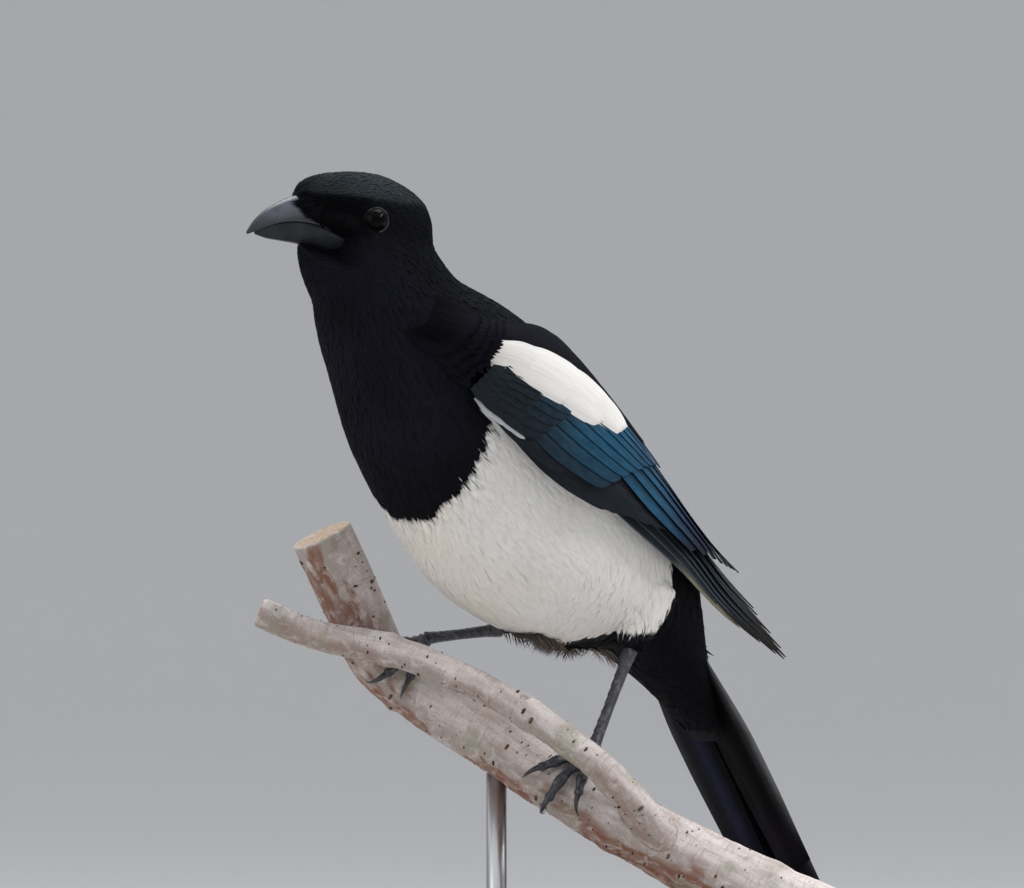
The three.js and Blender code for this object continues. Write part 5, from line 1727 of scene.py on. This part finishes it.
class MAGPIE_OT_stand(bpy.types.Operator):
    """Turned wooden base, steel rod and its collar"""
    bl_idname = "magpie.stand"
    bl_label = "Stand"

    def execute(self, context):
        p = settings().perch
        wood = Finish("Turned wood", Specular_IOR_Level=0.5, Coat_Weight=0.25, Coat_Roughness=0.25)
        grain = wood.noise(wood.place(scale=(20, 420, 420), turn=(0, 0, 0.5)), 1.0, 6.0, 0.6, 0.4)
        rings = wood.add("TexWave", {"Vector": wood.place(scale=(12, 170, 170), turn=(0, 0, 0.5)),
                                     "Scale": 0.5, "Distortion": 5.0,
                                     "Detail": 3.0}).outputs["Fac"]
        base = wood.ramp(wood.sum("ADD", wood.sum("MULTIPLY", grain, 0.6), wood.sum("MULTIPLY", rings, 0.4)),
                         [(0.2, [c * 0.45 for c in p.wood]), (0.5, list(p.wood)),
                          (0.85, [min(c * 1.9, 1) for c in p.wood])])
        wood.done(Base_Color=base, Roughness=wood.span(grain, 0.3, 0.7, 0.3, 0.45),
                  Normal=wood.bump(grain, 0.15, 0.0002))
        steel = Finish("Brushed steel", Base_Color=(0.58, 0.58, 0.59), Metallic=1.0)
        brush = steel.noise(steel.place(scale=(900, 900, 30)), 1.0, 3.0)
        steel.done(Roughness=steel.span(brush, 0.3, 0.7, 0.22, 0.38), Normal=steel.bump(brush, 0.08, 0.0001))
        radius, high = BASE_RADIUS, BASE_HIGH
        profile = [(0, 0), (radius - 0.0015, 0), (radius - 0.0004, 0.0006), (radius, 0.002), (radius, 0.0052)]
        profile += [(radius - 0.0007, 0.0058), (radius - 0.0007, 0.0064)]
        profile += [(radius - 0.0035 + 0.0035 * math.cos(a), 0.0072 + 0.0052 * math.sin(a))
                    for a in np.linspace(0, 1.35, 9)]
        profile += [(radius - 0.0045, high - 0.0004), (radius - 0.007, high), (0, high)]
        piece("turned_base", spun(profile, 128), wood.material, ("stand_base",))
        low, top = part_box("stand_rod")
        middle = (low + top) / 2
        r = p.rod_radius
        rod = spun([(0, low.z), (r - 0.0003, low.z), (r, low.z + 0.0003), (r, top.z), (0, top.z)], 48)
        bmesh.ops.translate(rod, vec=(middle.x, middle.y, 0), verts=rod.verts)
        piece("steel_rod", rod, steel.material, ("stand_rod",))
        low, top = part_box("stand_collar")
        r, z0, z1 = (top.x - low.x) / 2, low.z, top.z
        profile = [(0.0043, z0), (r - 0.0002, z0), (r, z0 + 0.0003), (r, z1 - 0.0012), (r - 0.0012, z1),
                   (0.0047, z1), (0.0043, z1 - 0.0004)]
        collar = spun(profile, 64, closed=True)
        bmesh.ops.translate(collar, vec=(middle.x, middle.y, 0), verts=collar.verts)
        piece("steel_collar", collar, steel.material, ("stand_collar",))
        return {"FINISHED"}


# Stage
class MAGPIE_OT_stage(bpy.types.Operator):
    """Plain pale floor that curves up all round, soft lights and the camera"""
    bl_idname = "magpie.stage"
    bl_label = "Stage, lights and camera"

    def execute(self, context):
        s = settings().stage
        floor = Finish("Pale floor", Roughness=0.9, Specular_IOR_Level=0.1)
        soft = floor.noise(floor.place(scale=(2, 2, 2)), 1.0, 2.0)
        colour = floor.blend(floor.span(soft, 0.3, 0.7, 0, 0.05), list(s.floor), [c * 0.94 for c in s.floor])
        floor.done(Base_Color=colour)
        profile = [(0, 0), (FLOOR_FLAT, 0)]
        profile += [(FLOOR_FLAT + FLOOR_BEND * math.sin(a), FLOOR_BEND - FLOOR_BEND * math.cos(a))
                    for a in np.linspace(0.1, 1.57, 14)]
        profile += [(FLOOR_FLAT + FLOOR_BEND, FLOOR_WALL)]
        bm = spun(profile, 96)
        bmesh.ops.reverse_faces(bm, faces=bm.faces)
        mesh = bpy.data.meshes.new("floor")
        bm.to_mesh(mesh)
        bm.free()
        mesh.polygons.foreach_set("use_smooth", [True] * len(mesh.polygons))
        obj = bpy.data.objects.new("floor", mesh)
        mesh.materials.append(floor.material)
        bpy.context.scene.collection.objects.link(obj)
        world = bpy.data.worlds.new("Studio")
        bpy.context.scene.world = world
        world.use_nodes = True
        background = world.node_tree.nodes["Background"]
        background.inputs["Color"].default_value = (0.93, 0.95, 1.0, 1)
        background.inputs["Strength"].default_value = 0.95
        a = s.azimuth
        right, toward = Vector((math.cos(a), math.sin(a), 0)), Vector((math.sin(a), -math.cos(a), 0))
        aim = Vector((0, 0, 0.24))
        for name, (aside, ahead, up), size, power, tint in LIGHTS:
            spot = right * aside + toward * ahead + Vector((0, 0, up))
            light = bpy.data.lights.new(name, "AREA")
            light.shape, light.size, light.energy, light.color = "SQUARE", size, power, tint
            lamp = bpy.data.objects.new(name, light)
            lamp.location = spot
            lamp.rotation_euler = (aim - spot).to_track_quat("-Z", "Y").to_euler()
            bpy.context.scene.collection.objects.link(lamp)
        camera = bpy.data.cameras.new("camera")
        camera.lens, camera.sensor_width = s.lens, 36.0
        eye = bpy.data.objects.new("camera", camera)
        target = right * -0.0145 + Vector((0, 0, 0.2632))
        eye.location = target + toward * (s.width * s.lens / 36.0)
        eye.rotation_euler = (-toward).to_track_quat("-Z", "Y").to_euler()
        camera.clip_start, camera.clip_end = 0.05, 60.0
        bpy.context.scene.collection.objects.link(eye)
        bpy.context.scene.camera = eye
        bpy.context.scene.view_settings.view_transform = "Standard"
        return {"FINISHED"}


STEPS = (MAGPIE_OT_stage, MAGPIE_OT_stand, MAGPIE_OT_perch, MAGPIE_OT_legs, MAGPIE_OT_skin, MAGPIE_OT_coat,
         MAGPIE_OT_wings, MAGPIE_OT_tail, MAGPIE_OT_bill, MAGPIE_OT_eyes)


class MAGPIE_PT_panel(bpy.types.Panel):
    bl_label = "Perched magpie"
    bl_idname = "MAGPIE_PT_panel"
    bl_space_type = "VIEW_3D"
    bl_region_type = "UI"
    bl_category = "Magpie"

    def draw(self, context):
        for group in (context.scene.magpie.plumage, context.scene.magpie.head, context.scene.magpie.perch,
                      context.scene.magpie.stage):
            box = self.layout.box()
            for name in group.__annotations__:
                box.prop(group, name)
        for step in STEPS:
            self.layout.operator(step.bl_idname)


CLASSES = (PlumageSettings, PerchSettings, HeadSettings, StageSettings, MagpieSettings, *STEPS,
           MAGPIE_PT_panel)


def register():
    for cls in CLASSES:
        bpy.utils.register_class(cls)
    bpy.types.Scene.magpie = PointerProperty(type=MagpieSettings)


def unregister():
    del bpy.types.Scene.magpie
    for cls in reversed(CLASSES):
        bpy.utils.unregister_class(cls)


def main():
    register()
    for step in STEPS:
        group, name = step.bl_idname.split(".")
        if getattr(getattr(bpy.ops, group), name)() != {"FINISHED"}:
            raise RuntimeError(f"{step.bl_label} didn't finish")


if __name__ == "__main__":
    main()
